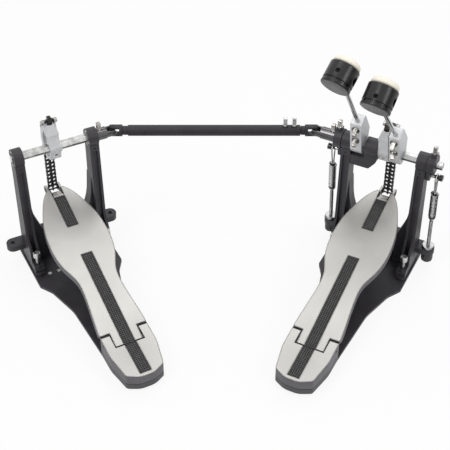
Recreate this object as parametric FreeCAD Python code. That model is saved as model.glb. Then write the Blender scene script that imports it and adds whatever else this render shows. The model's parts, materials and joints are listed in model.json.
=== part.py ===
import FreeCAD, Part
import math
import os

# A double bass drum pedal: a main pedal that clamps to the drum, a second pedal to its left,
# and a telescoping drive shaft with two universal joints between them.
# The frame: +X along the drive shaft to the right, +Y towards the drum, +Z up. The origin is on
# the floor, under the middle of the main pedal's axle.
# Each pedal is modelled in its own frame (x along its axle to the right, y from the heel to the
# toe, z up from the floor under the axle) and then turned in towards the other pedal.

V = FreeCAD.Vector
X, Y, Z = V(1, 0, 0), V(0, 1, 0), V(0, 0, 1)

# Layout of the two pedals
axle_height = 180.0
toe_in = 26.7
main_joint_stand = 41.0
second_joint_stand = 23.0
drive_length = 266.0

# Clearances
seat_gap = 0.05
running_gap = 0.05
side_gap = 0.6
chain_gap = 0.1

# Base plates
base_thickness = 4.0
base_half_width = 59.0
base_back = 34.0
base_shoulder = -54.0
base_neck_half = 35.5
base_neck_start = -118.0
base_waist_half = 30.4
base_waist = -210.0
base_heel_half = 21.0
base_heel_end = -266.0
trim_hole_radius = 2.5
trim_holes = ((-38.6, -36.0), (-26.0, -36.0))
hoop_lip_half = 24.0
hoop_lip_end = 58.0

# Posts and their feet
post_gap = 88.0
post_width = 13.0
boss_radius = 12.0
post_front = 9.5
post_back = 16.0
post_groove_width = 6.0
post_groove_depth = 3.5
flare_reach = 16.0
flare_height = 118.0
foot_front = -38.0
foot_height = 9.0
lug_out = 13.9
lug_y = 13.0
lug_radius = 8.8
lug_bottom = 24.0
lug_thickness = 9.0
spur_y = -27.0
spur_boss_radius = 6.3
spur_boss_height = 15.0
crossbar_depth = 10.0
crossbar_height = 36.0

# Axles and bearings
hex_flats = 10.0
bearing_radius = 8.4
bearing_width = 11.0
arm_bearing_width = 6.6
axle_overhang = 19.5

# Key bolts: a square head on a collar
key_shank_radius = 2.4
key_square_half = 2.5
key_height = 11.0
key_collar_radius = 3.9
key_collar = 1.7
key_tip_gap = 0.1

# Bearing arm that carries the meeting ends of the two axles
arm_boss_from = -25.5
arm_boss_width = 16.6
arm_bar_bottom = 150.5
arm_bar_top = 165.0
arm_depth = 18.0

# Cam and chain
cam_width = 15.4
cam_lip = 1.0
cam_lip_radius = 31.0
cam_ear_radius = 36.6
cam_ear_low = 56.0
cam_lip_low = -45.0
cam_lip_high = 74.5
cam_rim_wall = 5.0
cam_hub_radius = 8.0
chain_radius = 34.0
chain_pitch = 6.35
chain_plate = 0.8
chain_plate_radius = 2.8
chain_strand = 6.2
chain_inner_width = 3.1
bush_radius = 1.65
roller_flats = 3.0
pin_radius = 1.15
hinge_pin_angle = 25.0
wrap_links = 4
span_links = 17
toe_slot_reach = 2.3
toe_slot_rise = 0.9
anchor_head_radius = 3.2
anchor_head = 3.0

# Cam front, whose face bulges forwards between a narrow foot and a shouldered clamp
cam_shift = -1.1
cam_face_half = 7.3
cam_foot = (-3.0, -16.2)
cam_bulge = (-7.9, -1.7)
cam_shoulder = (-4.8, 19.0)
cam_shoulder_half = 8.1
cam_clamp_half = 4.6
cam_top = 32.7
cam_clamp_back = 6.0
cam_bolt_y = 2.2
main_cam_tilt = 7.0
second_cam_tilt = -6.6

# Footboard and heel plate
hinge_back = 216.0
hinge_height = 27.0
hinge_pin_radius = 2.5
board_slope = 14.8
board_top = 4.5
board_plate = 4.0
board_depth = 10.0
board_wall = 3.2
tongue_half = 18.0
tongue_tail = 10.0
toe_notch_half = 7.5
toe_notch_from = 237.0
toe_lug_plate = 3.0
toe_lip = 8.5
toe_lip_half = 6.7
grip_half = 7.5
grip_thickness = 1.2
grip_gap = 0.15
badge_from = 135.0
badge_to = 182.0
heel_half = 31.5
heel_length = 65.0
heel_front_height = 33.8
heel_slope = 6.3
heel_wall = 3.6
heel_taper_from = 32.0
heel_end_half = 24.8
heel_bow = 8.0
heel_bow_half = 9.5
heel_corner = 6.0
hinge_side_gap = 0.6
hinge_end_gap = 0.9
ear_reach = 9.6

# Beaters and their hubs
hub_width = 15.0
hub_radius = 12.3
hub_top = 47.5
hub_back = 23.0
hub_waist = 9.0
rod_offset = 12.4
rod_radius = 2.8
rod_low_end = -8.0
main_lean = 40.3
second_lean = 35.0
head_height = 180.0
head_radius = 18.5
head_back = 14.8
head_front = 12.6
felt_height = 8.6
felt_rounding = 5.6
felt_inset = 1.3
band_back = 3.5
band_width = 3.0
head_hole_radius = 5.4
head_hole_depth = 5.0
head_rod_depth = 11.0
main_head_turn = -3.5
second_head_turn = -7.0
main_head_shift = 4.0
second_head_shift = 0.0
main_hub_from = 8.6
hub_bolt_heights = (38.5, 21.5)
hub_seat_radius = 5.2
hub_seat_depth = 2.2

# Rockers, springs and their adjusters
rocker_width = 10.4
rocker_plate = 4.8
rocker_radius = 13.0
rocker_reach = 19.5
rocker_rest = 5.0
rocker_tower = 16.0
pivot_radius = 2.5
pivot_head_radius = 4.2
pivot_head_length = 4.6
eye_radius = 4.7
eye_wall = 2.2
eye_width = 4.4
eye_drop = 1.7
spring_wire = 2.4
spring_mean_radius = 3.9
spring_pitch = 2.95
spring_turns = 13
spring_low = 60.0
adjuster_radius = 2.3
lock_nut_radius = 8.0
lock_nut_height = 4.2
knob_radius = 7.9
knob_height = 14.0
knob_flutes = 12

# Drive shaft and universal joints
yoke_gap = 4.3
yoke_tine = 2.9
yoke_end_radius = 3.9
yoke_crotch = 9.6
cross_pin_radius = 2.2
cross_free_gap = 0.45
neck_radius = 6.0
tube_radius = 7.3
tube_bore = 5.1
tube_from = 21.0
tube_to = 246.3
drive_rod_radius = 5.02
drive_rod_end = 60.0
lock_screw_places = (8.0, 19.7)
lock_screw_radius = 2.5
lock_screw_stand = 1.2
coupling_radius = 8.2

# Spurs
spur_radius = 2.8
spur_head_radius = 4.9
spur_head_height = 8.0
spur_top = 39.0
spur_tip = 1.0

# Hoop clamp
jaw_half = 12.0
jaw_pivot_y = 21.0
jaw_pivot_z = 31.0
jaw_nose_end = 56.0
jaw_nose_bottom = 17.0
jaw_ear = 5.0
jaw_screw_y = 2.0
jaw_screw_radius = 3.0
jaw_pin_radius = 2.5
jaw_side_gap = 0.5

post_inner = post_gap / 2
post_outer = post_inner + post_width
post_middle = post_inner + post_width / 2
lug_x = post_outer + lug_out
main_joint_reach = post_outer + main_joint_stand
second_joint_reach = post_outer + second_joint_stand
chain_half = chain_strand / 2 + chain_inner_width / 2 + 2 * chain_plate + chain_gap
link_angle = 2 * math.degrees(math.asin(chain_pitch / 2 / chain_radius))

parts = {}


def keep(name, *shapes):
    """Store the finished solids of one node."""
    solids = []
    for shape in shapes:
        solids.extend(shape.Solids)
    parts[name] = Part.makeCompound(solids)


def box(x, y, z):
    """Block between the given pairs of limits."""
    return Part.makeBox(x[1] - x[0], y[1] - y[0], z[1] - z[0], V(x[0], y[0], z[0]))


def bar(radius, start, direction, length):
    """Round bar from a start point along a direction."""
    return Part.makeCylinder(radius, length, start, direction)


def x_bar(radius, x0, x1, y=0.0, z=0.0):
    """Round bar along x."""
    return bar(radius, V(x0, y, z), X, x1 - x0)


def z_bar(radius, x, y, z0, z1):
    """Round bar along z."""
    return bar(radius, V(x, y, z0), Z, z1 - z0)


def rounded_wire(corners, to_space):
    """Closed wire through corners (u, v, radius), each radius giving a tangent arc."""
    count = len(corners)
    stops = []
    for i in range(count):
        u, v, radius = corners[i]
        here = V(u, v, 0)
        before = (V(corners[i - 1][0], corners[i - 1][1], 0) - here).normalize()
        after = (V(corners[(i + 1) % count][0], corners[(i + 1) % count][1], 0) - here).normalize()
        if radius == 0:
            stops.append((here, None, here))
            continue
        half = before.getAngle(after) / 2
        reach = radius / math.tan(half)
        inward = (before + after).normalize()
        middle = here + inward * (radius / math.sin(half) - radius)
        stops.append((here + before * reach, middle, here + after * reach))
    edges = []
    for i in range(count):
        start, middle, end = (None if p is None else to_space(p.x, p.y) for p in stops[i])
        if middle is not None:
            edges.append(Part.Arc(start, middle, end).toShape())
        following = stops[(i + 1) % count][0]
        next_start = to_space(following.x, following.y)
        if end.distanceToPoint(next_start) > 1e-6:
            edges.append(Part.makeLine(end, next_start))
    return Part.Wire(edges)


def plan(corners, z0, z1):
    """Prism on an (x, y) outline."""
    face = Part.Face(rounded_wire(corners, lambda u, v: V(u, v, z0)))
    return face.extrude(V(0, 0, z1 - z0))


def side(corners, x0, x1):
    """Prism on a (y, z) outline."""
    face = Part.Face(rounded_wire(corners, lambda u, v: V(x0, u, v)))
    return face.extrude(V(x1 - x0, 0, 0))


def front(corners, y0, y1):
    """Prism on an (x, z) outline."""
    face = Part.Face(rounded_wire(corners, lambda u, v: V(u, y0, v)))
    return face.extrude(V(0, y1 - y0, 0))


def mirrored_corners(right_half):
    """Whole outline from its right half, which runs from the back to the heel."""
    left_half = [(-x, y, r) for x, y, r in reversed(right_half)]
    return right_half + left_half


def hex_bar(flats, x0, x1):
    """Hexagonal bar along x with a flat at the top."""
    radius = flats / math.sqrt(3)
    corners = [(radius * math.cos(math.radians(60 * k)), radius * math.sin(math.radians(60 * k)), 0)
               for k in range(6)]
    return side(corners, x0, x1)


def turned(shape, axis, angle, centre=V(0, 0, 0)):
    """Copy of a shape turned about an axis."""
    result = shape.copy()
    result.rotate(centre, axis, angle)
    return result


def moved(shape, offset):
    """Copy of a shape moved by a vector."""
    result = shape.copy()
    result.translate(offset)
    return result


def flipped(shape):
    """Mirror image on the other side of the pedal."""
    return shape.mirror(V(0, 0, 0), X)


def sector(radius, low, high, x0, x1):
    """Pie slice about the x axis between two angles above the horizontal."""
    edge = [V(x0, radius * math.cos(math.radians(a)), radius * math.sin(math.radians(a)))
            for a in (low, (low + high) / 2, high)]
    centre = V(x0, 0, 0)
    wire = Part.Wire([Part.makeLine(centre, edge[0]), Part.Arc(*edge).toShape(),
                      Part.makeLine(edge[2], centre)])
    return Part.Face(wire).extrude(V(x1 - x0, 0, 0))


axle_centre = V(0, 0, axle_height)
turn = math.radians(toe_in)
main_joint = V(-main_joint_reach * math.cos(turn), main_joint_reach * math.sin(turn), axle_height)
second_joint = main_joint - V(drive_length, 0, 0)
second_origin = second_joint - V(second_joint_reach * math.cos(turn), second_joint_reach * math.sin(turn),
                               axle_height)


def on_main(shape):
    """From the pedal's own frame to the main pedal's place."""
    return turned(shape, Z, -toe_in)


def on_second(shape):
    """From the pedal's own frame to the second pedal's place."""
    return moved(turned(shape, Z, toe_in), second_origin)


# Base plates


def base_plate(with_lip):
    right_half = []
    if with_lip:
        right_half += [(hoop_lip_half, hoop_lip_end, 5), (hoop_lip_half, base_back, 4)]
    right_half += [(base_half_width, base_back, 5),
                   (base_half_width, base_shoulder, 6),
                   (base_half_width - 11, base_shoulder - 18, 22),
                   (base_neck_half, base_neck_start, 60),
                   (base_waist_half, base_waist, 20),
                   (base_heel_half, base_heel_end, 12)]
    plate = plan(mirrored_corners(right_half), 0, base_thickness)
    for sign in (-1, 1):
        plate = plate.cut(z_bar(spur_radius + 0.4, sign * post_middle, spur_y, -1, base_thickness + 1))
    return plate


def second_base():
    plate = base_plate(False)
    for x, y in trim_holes:
        plate = plate.cut(z_bar(trim_hole_radius, x, y, -1, base_thickness + 1))
    return plate


# Posts


def eye_centre():
    """Middle of a spring link's eye at rest, in the plane of the rocker."""
    rest = math.radians(rocker_rest)
    return V(0, rocker_reach * math.sin(rest) - eye_drop * 0.42,
             axle_height - rocker_reach * math.cos(rest) - eye_drop * 0.9)


lug_top = lug_bottom + lug_thickness
spring_tilt = math.degrees(math.atan2(lug_y - eye_centre().y, eye_centre().z - lug_top))


def along_spring(shape):
    """From an upright frame with its origin on the lug's top to the leaning spring's place."""
    return moved(turned(shape, X, spring_tilt), V(lug_x, lug_y, lug_top))


def right_post():
    column = side([(-post_front, axle_height - 8, 0),
                   (-post_front - 1.5, 52, 40),
                   (foot_front + 4, base_thickness + foot_height, 3),
                   (foot_front + 4, base_thickness, 0),
                   (post_back, base_thickness, 0),
                   (post_back, base_thickness + crossbar_height + 6, 30),
                   (post_front, axle_height - 30, 40),
                   (post_front, axle_height - 8, 0)], post_inner, post_outer)
    boss = x_bar(boss_radius, post_inner, post_outer, 0, axle_height)
    post = column.fuse(boss)
    groove = box((post_middle - post_groove_width / 2, post_middle + post_groove_width / 2),
                 (-post_front - 40, -post_front + post_groove_depth - 1.2),
                 (base_thickness + foot_height + 4, axle_height - boss_radius - 6))
    post = post.cut(groove)
    flare = front([(post_inner - flare_reach, base_thickness, 0),
                   (post_inner + 1, base_thickness, 0),
                   (post_inner + 1, flare_height, 0),
                   (post_inner - 0.01, flare_height, 0),
                   (post_inner - 3, base_thickness + 2 * crossbar_height + 6, 90),
                   (post_inner - flare_reach, base_thickness + crossbar_height + 6, 4)],
                  -2, post_back - 2)
    post = post.fuse(flare)
    toe_round = post_width / 2 - 0.2
    flange = plan([(post_inner, spur_y + 12, 0), (post_inner, foot_front, toe_round),
                   (post_outer, foot_front, toe_round), (post_outer, spur_y + 12, 0)],
                  base_thickness, base_thickness + 5)
    spur_boss = z_bar(spur_boss_radius, post_middle, spur_y, base_thickness,
                      base_thickness + spur_boss_height)
    post = post.fuse(flange).fuse(spur_boss)
    lug = z_bar(lug_radius, 0, 0, -lug_thickness, 0)
    lug = lug.fuse(box((-lug_out - 3, 0), (-lug_radius, lug_radius), (-lug_thickness, 0)))
    lug = lug.cut(z_bar(adjuster_radius + 0.35, 0, 0, -lug_thickness - 1, 1))
    post = post.fuse(along_spring(lug)).removeSplitter()
    post = post.cut(z_bar(spur_radius + running_gap, post_middle, spur_y, 0, spur_top - 4))
    post = post.cut(box((post_inner - flare_reach, post_outer + 1),
                        (spur_y - spur_boss_radius - 1, spur_y + spur_boss_radius),
                        (base_thickness + spur_boss_height, spur_top + 2)))
    bearing_end = post_inner + bearing_width
    post = post.cut(x_bar(bearing_radius + seat_gap, post_inner - 1, bearing_end, 0, axle_height))
    post = post.cut(x_bar(bearing_radius - 2, post_inner, post_outer + 1, 0, axle_height))
    post = post.cut(bar(1.4, V(post_middle, -post_front - 4, axle_height - boss_radius - 2), Y, 8))
    return post


def crossbar():
    return box((-post_outer + 5, post_outer - 5), (post_back, post_back + crossbar_depth),
               (base_thickness, base_thickness + crossbar_height))


def ring(outer, inner, x0, x1):
    """Bearing ring about the axle."""
    return x_bar(outer, x0, x1, 0, axle_height).cut(x_bar(inner, x0 - 1, x1 + 1, 0, axle_height))


def post_bearings():
    right = ring(bearing_radius, hex_flats / 2 + running_gap, post_inner, post_inner + bearing_width)
    return [right, flipped(right)]


def spurs():
    shank = z_bar(spur_radius, post_middle, spur_y, spur_tip + 4, spur_top - spur_head_height)
    point = Part.makeCone(0.6, spur_radius, 4, V(post_middle, spur_y, spur_tip), Z)
    head = z_bar(spur_head_radius, post_middle, spur_y, spur_top - spur_head_height, spur_top)
    head = head.makeChamfer(0.8, [e for e in head.Edges if e.Curve.TypeId == "Part::GeomCircle"])
    spur = shank.fuse(point).fuse(head).removeSplitter()
    return [spur, flipped(spur)]


# Heel plate


heel_front = -hinge_back + ear_reach
heel_end = -hinge_back - heel_length
heel_fall = math.tan(math.radians(heel_slope))


def heel_block(inset, drop):
    """The heel casting's body, drawn in by an inset and lowered by a drop."""
    top_front = heel_front_height - drop
    top_end = heel_front_height - drop - heel_fall * (heel_front - heel_end)
    outline = plan(mirrored_corners([(heel_half - inset, heel_front - inset, 2),
                                     (heel_half - inset, heel_front - heel_taper_from, 60),
                                     (heel_end_half - inset, heel_end + heel_bow + inset,
                                      heel_corner - inset),
                                     (heel_bow_half, heel_end + inset, 24)]),
                   base_thickness, heel_front_height + 5)
    profile = side([(heel_front, base_thickness, 0), (heel_front, top_front, 0),
                    (heel_end, top_end, 0), (heel_end, base_thickness, 0)],
                   -heel_half, heel_half)
    return outline.common(profile)


def on_heel(shape):
    """From a flat frame with its origin at the heel's front edge to the heel's sloping top."""
    return moved(turned(shape, X, heel_slope), V(0, heel_front, heel_front_height))


def heel_grip_strip(grow, z0, z1):
    tail = -(heel_length + ear_reach) / math.cos(math.radians(heel_slope)) + 5
    head = -(ear_reach + tongue_tail + hinge_end_gap + 1.6)
    return on_heel(box((-grip_half - grow, grip_half + grow), (tail - grow, head + grow), (z0, z1)))


def heel_plate():
    block = heel_block(0, 0)
    pocket = heel_block(heel_wall, heel_wall + 1.4)
    ears = box((-heel_half, heel_half), (-hinge_back - tongue_tail - 5, heel_front + 1), (0, 60))
    block = block.cut(pocket.cut(ears))
    tongue_room = box((-tongue_half - hinge_side_gap, tongue_half + hinge_side_gap),
                      (-hinge_back - tongue_tail - hinge_end_gap, heel_front + 1), (base_thickness - 1, 60))
    block = block.cut(tongue_room)
    reach = heel_half + 1
    block = block.cut(x_bar(hinge_pin_radius + seat_gap, -reach, reach, -hinge_back, hinge_height))
    return block.cut(heel_grip_strip(grip_gap, -grip_thickness, 5))


def heel_grip():
    return heel_grip_strip(0, -grip_thickness, 0)


def hinge_pin():
    return x_bar(hinge_pin_radius, -heel_half + 1, heel_half - 1, -hinge_back, hinge_height)


# Footboard


slope = math.radians(board_slope)


def on_board(shape):
    """From the flat board frame (x across, y from the hinge pin to the toe) to its place."""
    return moved(turned(shape, X, board_slope), V(0, -hinge_back, hinge_height))


hinge_angle = math.radians(hinge_pin_angle)
span_top = V(0, chain_radius * math.cos(hinge_angle), axle_height + chain_radius * math.sin(hinge_angle))
span_length = span_links * chain_pitch
span_lean = chain_radius - span_top.y
toe_pin = V(0, chain_radius, span_top.z - math.sqrt(span_length ** 2 - span_lean ** 2))
toe_arm = toe_pin - V(0, -hinge_back, hinge_height)
toe_s = toe_arm.y * math.cos(slope) + toe_arm.z * math.sin(slope)
toe_n = toe_arm.z * math.cos(slope) - toe_arm.y * math.sin(slope)

board_edge = [(31.3, 0.0), (28.9, 0.128), (25.9, 0.273), (27.2, 0.37), (34.3, 0.452), (39.6, 0.545),
              (40.4, 0.637), (36.9, 0.766), (28.4, 0.878), (20.6, 0.95), (11.5, 1.0)]
board_from = (ear_reach + hinge_end_gap + board_top * math.sin(slope)) / math.cos(slope)
horn_s = 248.5


def board_outline(inset, z0, z1, back, tip):
    """Prism on the footboard's waisted outline, drawn in by an inset."""
    length = horn_s - board_from
    right = [V(x - inset, board_from + share * length, z0) for x, share in board_edge]
    right[0].y = back
    right[-1].y = tip
    left = [V(-p.x, p.y, z0) for p in reversed(right)]
    right_curve = Part.BSplineCurve()
    right_curve.interpolate(right)
    left_curve = Part.BSplineCurve()
    left_curve.interpolate(left)
    wire = Part.Wire([right_curve.toShape(), Part.makeLine(right[-1], left[0]),
                      left_curve.toShape(), Part.makeLine(left[-1], right[0])])
    return Part.Face(wire).extrude(V(0, 0, z1 - z0))


def grip_strip(start, end, grow, z0, z1):
    return box((-grip_half - grow, grip_half + grow), (start - grow, end + grow), (z0, z1))


grip_spans = ((-tongue_tail + 1.5, badge_from), (badge_to, toe_notch_from - 3.5))


def footboard():
    bottom = board_top - board_depth
    board = board_outline(0, bottom, board_top, board_from, horn_s)
    pocket = board_outline(board_wall, bottom - 1, board_top - board_plate, board_from + 8, horn_s - 22)
    ribs = []
    for x in (-9.2, 9.2):
        ribs.append(box((x - 1.4, x + 1.4), (board_from, toe_notch_from), (bottom + 1, board_top - 1)))
    for share in (0.2, 0.42, 0.62, 0.8):
        place = board_from + share * (horn_s - board_from)
        ribs.append(box((-60, 60), (place - 1.3, place + 1.3), (bottom + 1, board_top - 1)))
    for rib in ribs:
        pocket = pocket.cut(rib)
    board = board.cut(pocket)
    under_hinge = side([(board_from - 5, bottom - 1, 0), (board_from + 9, bottom - 1, 0),
                        (board_from - 2, board_top - board_plate, 0),
                        (board_from - 5, board_top - board_plate, 0)], -60, 60)
    board = board.cut(under_hinge)
    tongue = side([(-tongue_tail, -board_top, 2), (board_from + 9, -board_top, 0),
                   (board_from + 9, board_top, 0), (-tongue_tail, board_top, 1)],
                  -tongue_half, tongue_half)
    board = board.fuse(tongue)
    notch = box((-toe_notch_half, toe_notch_half), (toe_notch_from, horn_s + 5), (bottom - 5, board_top + 5))
    board = board.cut(notch)
    lip = side([(toe_notch_from - 3, board_top, 0), (toe_notch_from + toe_lip, board_top - 3, 1),
                (toe_notch_from + toe_lip, board_top - 5, 1), (toe_notch_from - 3, board_top - 5, 0)],
               -toe_lip_half, toe_lip_half)
    board = board.fuse(lip)
    lug_height = pin_radius + toe_slot_rise + 2.6
    lug = side([(toe_notch_from + 2, board_top - 3, 0),
                (horn_s - 3, board_top - 3, 0),
                (toe_s + toe_slot_reach + pin_radius + 3, toe_n + lug_height, 3),
                (toe_s + toe_slot_reach + pin_radius + 3, toe_n - lug_height, 3),
                (toe_notch_from + 2, toe_n - lug_height, 4)],
               toe_notch_half, toe_notch_half + toe_lug_plate)
    slot_half = pin_radius + toe_slot_rise
    slot = side([(toe_s - toe_slot_reach - pin_radius, toe_n - slot_half, slot_half * 0.99),
                 (toe_s + toe_slot_reach + pin_radius, toe_n - slot_half, slot_half * 0.99),
                 (toe_s + toe_slot_reach + pin_radius, toe_n + slot_half, slot_half * 0.99),
                 (toe_s - toe_slot_reach - pin_radius, toe_n + slot_half, slot_half * 0.99)],
                0, toe_notch_half + toe_lug_plate + 1)
    for plate in (lug, flipped(lug)):
        board = board.fuse(plate)
    board = board.cut(slot).cut(flipped(slot)).removeSplitter()
    for start, end in grip_spans:
        board = board.cut(grip_strip(start, end, grip_gap, board_top - grip_thickness, board_top + 2))
    board = board.cut(x_bar(hinge_pin_radius + running_gap, -tongue_half - 1, tongue_half + 1))
    return on_board(board)


def board_grips():
    strips = []
    for start, end in grip_spans:
        strips.append(on_board(grip_strip(start, end, 0, board_top - grip_thickness, board_top)))
    return strips


# Chain


def chain_plate_shape(x0, x1):
    """One link plate with eight corners, hanging down from its first pin."""
    r = chain_plate_radius
    tip = r * math.sqrt(3) / 2
    return side([(r, 0, 0), (r / 2, tip, 0), (-r / 2, tip, 0), (-r, 0, 0),
                 (-r, -chain_pitch, 0), (-r / 2, -chain_pitch - tip, 0),
                 (r / 2, -chain_pitch - tip, 0), (r, -chain_pitch, 0)], x0, x1)


strand_centres = (-chain_strand / 2, chain_strand / 2)
strand_half = chain_inner_width / 2


def link_plates(outer):
    """Plates of one link: three on an outer link, two in each strand of an inner one."""
    spans = []
    if outer:
        middle = chain_strand / 2 - strand_half - chain_plate - chain_gap
        spans = [(-chain_half, -chain_half + chain_plate), (-middle, middle),
                 (chain_half - chain_plate, chain_half)]
    else:
        for centre in strand_centres:
            spans.append((centre - strand_half - chain_plate, centre - strand_half))
            spans.append((centre + strand_half, centre + strand_half + chain_plate))
    return [chain_plate_shape(x0, x1) for x0, x1 in spans]


def roller():
    """A pin and its rollers across both strands, as one six-sided bar."""
    return hex_bar(roller_flats, -chain_half, chain_half)


def on_axle(shape):
    """From a frame with its origin on the axle to the pedal's frame."""
    return moved(shape, axle_centre)


def chain_wrap():
    """Links that lie on the cam, from the anchor pin down to the bushes on the free span's first pin."""
    pieces = []
    for k in range(wrap_links):
        link = link_plates(k % 2 == 0)
        anchor = cam_width / 2 - seat_gap
        link.append(x_bar(pin_radius, -anchor, anchor) if k == 0 else roller())
        if k == wrap_links - 1:
            for centre in strand_centres:
                link.append(x_bar(bush_radius, centre - strand_half, centre + strand_half, 0, -chain_pitch))
        start = hinge_pin_angle + (wrap_links - k) * link_angle
        angle = math.radians(start)
        spot = V(0, chain_radius * math.cos(angle), chain_radius * math.sin(angle))
        pieces += [on_axle(moved(turned(piece, X, start - link_angle / 2), spot)) for piece in link]
    wrap = pieces[0].multiFuse(pieces[1:]).removeSplitter()
    return wrap.cut(x_bar(pin_radius + running_gap, -chain_half, chain_half, span_top.y, span_top.z))


def chain_span():
    """Free links from the pin in the last wrapped link down to the pin in the toe."""
    pieces = []
    for k in range(span_links):
        link = link_plates(k % 2 == 0)
        link.append(x_bar(pin_radius, -chain_half, chain_half) if k == 0 else roller())
        pieces += [moved(piece, V(0, 0, -k * chain_pitch)) for piece in link]
    reach = toe_notch_half + toe_lug_plate + 0.4
    pieces.append(x_bar(pin_radius, -reach, reach, 0, -span_length))
    span = pieces[0].multiFuse(pieces[1:]).removeSplitter()
    lean = math.degrees(math.asin(span_lean / span_length))
    return moved(turned(span, X, lean), span_top)


# Cam


cam_half = cam_width / 2
cam_bed = chain_radius - chain_plate_radius - 3.4
anchor_angle = math.radians(hinge_pin_angle + wrap_links * link_angle)
anchor_place = (chain_radius * math.cos(anchor_angle), chain_radius * math.sin(anchor_angle))


def cam_rim():
    """Curved bed of the chain between two lips, with ears for the anchor pin and a pad under the links."""
    channel = cam_half - cam_lip
    chord_radius = chain_radius * math.cos(math.radians(link_angle / 2))
    pad_radius = chord_radius - chain_plate_radius - chain_gap
    lips = sector(cam_lip_radius, cam_lip_low, cam_lip_high, -cam_half, cam_half)
    lips = lips.fuse(sector(cam_ear_radius, cam_ear_low, cam_lip_high, -cam_half, cam_half))
    lips = lips.cut(sector(cam_ear_radius + 1, cam_lip_low - 30, cam_lip_high + 30, -channel, channel))
    bed = sector(cam_bed, cam_lip_low, cam_lip_high, -cam_half, cam_half)
    pad = sector(pad_radius, hinge_pin_angle + 8, cam_lip_high, -channel, channel)
    rim = lips.fuse(bed).fuse(pad)
    return rim.cut(x_bar(cam_bed - cam_rim_wall, -cam_half - 1, cam_half + 1))


def cam_front():
    """Bulging front face, the foot that joins it to the rim, and the shouldered clamp block on top."""
    low = cam_shoulder[1]
    face = side([(*cam_foot, 1.5), (*cam_bulge, 8), (*cam_shoulder, 0), (3, low, 0), (-1, 8, 0),
                 (-1, -8, 0), (-1, cam_foot[1] + 4, 0)], -cam_face_half, cam_face_half)
    foot = side([(*cam_foot, 1.5), (cam_bed * 0.54, -cam_bed * 0.79, 0),
                 (cam_bed * 0.84, -cam_bed * 0.52, 0), (cam_bed * 0.72, -cam_bed * 0.4, 0),
                 (cam_bed * 0.48, -cam_bed * 0.58, 0), (cam_foot[0] + 1, cam_foot[1] + 5, 0)],
                -cam_face_half, cam_face_half)
    block = front([(-cam_shoulder_half, low - 0.5, 0), (cam_shoulder_half, low - 0.5, 0),
                   (cam_shoulder_half, low + 2.5, 0), (cam_clamp_half, cam_top, 1),
                   (-cam_clamp_half, cam_top, 1), (-cam_shoulder_half, low + 2.5, 0)], -10, cam_clamp_back)
    block = block.common(side([(cam_shoulder[0] - 1, low - 1, 0), (-1, cam_top + 1, 0),
                               (cam_clamp_back, cam_top + 1, 0), (cam_clamp_back, low - 1, 0)], -12, 12))
    shape = face.fuse(foot).fuse(block)
    shape = shape.cut(bar(1.9, V(0.8, -30, -9.5), Y, 30))
    return moved(shape, V(cam_shift, 0, 0))


def cam(tilt):
    """Cast chain cam: rim, web and hub, with its front turned on the axle by a tilt."""
    web = side([(-2, -12, 0), (cam_bed * 0.72, -cam_bed * 0.62, 0), (cam_bed - 2, 0, 0),
                (cam_bed * 0.3, cam_bed * 0.9, 0), (-2, 20, 0)], -3.2, 3.2)
    body = cam_rim().fuse(web).fuse(turned(cam_front(), X, tilt))
    body = body.fuse(x_bar(cam_hub_radius, -cam_half, cam_half)).removeSplitter()
    body = body.cut(hex_bar(hex_flats + 2 * seat_gap, -cam_half - 5, cam_half + 5))
    body = body.cut(x_bar(pin_radius + seat_gap, -cam_half - 5, cam_half + 5, *anchor_place))
    body = body.cut(turned(z_bar(key_shank_radius + seat_gap, cam_shift, cam_bolt_y, 0, 60), X, tilt))
    return on_axle(body)


def key_bolt(reach, shank_radius=key_shank_radius):
    """Square-headed key bolt standing on its seat at the origin, with its shank down to a reach."""
    half = key_square_half
    head = box((-half, half), (-half, half), (key_collar, key_height))
    head = head.makeChamfer(0.6, [e for e in head.Edges if e.BoundBox.ZMin > key_height - 0.1])
    bolt = head.fuse(z_bar(key_collar_radius, 0, 0, 0, key_collar))
    return bolt.fuse(z_bar(shank_radius, 0, 0, -reach, 0)).removeSplitter()


def cam_bolts(tilt):
    """The clamping bolt on top of a cam and the two heads of the chain's anchor pin."""
    reach = cam_top - hex_flats / math.sqrt(3) - key_tip_gap
    top = moved(key_bolt(reach), V(cam_shift, cam_bolt_y, cam_top))
    heads = [x_bar(anchor_head_radius, x0, x0 + anchor_head, *anchor_place)
             for x0 in (cam_half, -cam_half - anchor_head)]
    return [on_axle(shape) for shape in [turned(top, X, tilt)] + heads]


# Beater hubs and beaters


def leaning(shape, lean):
    """From an upright frame on the axle (z along the beater's rod) to the pedal's frame."""
    return on_axle(turned(shape, X, lean))


hub_front_low = (-hub_radius, 5.0)
hub_front_high = (rod_offset - 6.0, hub_top)


def hub_bolt_seat(height):
    """Where the floor of a bolt's pocket in the hub's slanting front is at a height."""
    low, high = hub_front_low, hub_front_high
    share = (height - low[1]) / (high[1] - low[1])
    return low[0] + share * (high[0] - low[0]) + hub_seat_depth


def beater_hub(x0, lean):
    x1 = x0 + hub_width
    middle = (x0 + x1) / 2
    body = side([(*hub_front_high, 2), (hub_back, hub_top, 4), (hub_back - 1, hub_waist, 6),
                 (3, -hub_radius + 0.4, 0), (-hub_radius, 0, 0), (*hub_front_low, 3)], x0, x1)
    body = body.fuse(x_bar(hub_radius, x0, x1)).removeSplitter()
    for height in hub_bolt_heights:
        body = body.cut(bar(hub_seat_radius, V(middle, hub_bolt_seat(height), height), V(0, -1, 0), 20))
        body = body.cut(bar(key_shank_radius + seat_gap, V(middle, rod_offset, height), V(0, -1, 0), 40))
    body = body.cut(z_bar(rod_radius + running_gap, middle, rod_offset, -hub_radius - 5, hub_top + 5))
    return leaning(body, lean).cut(on_axle(hex_bar(hex_flats + 2 * seat_gap, x0 - 1, x1 + 1)))


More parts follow.
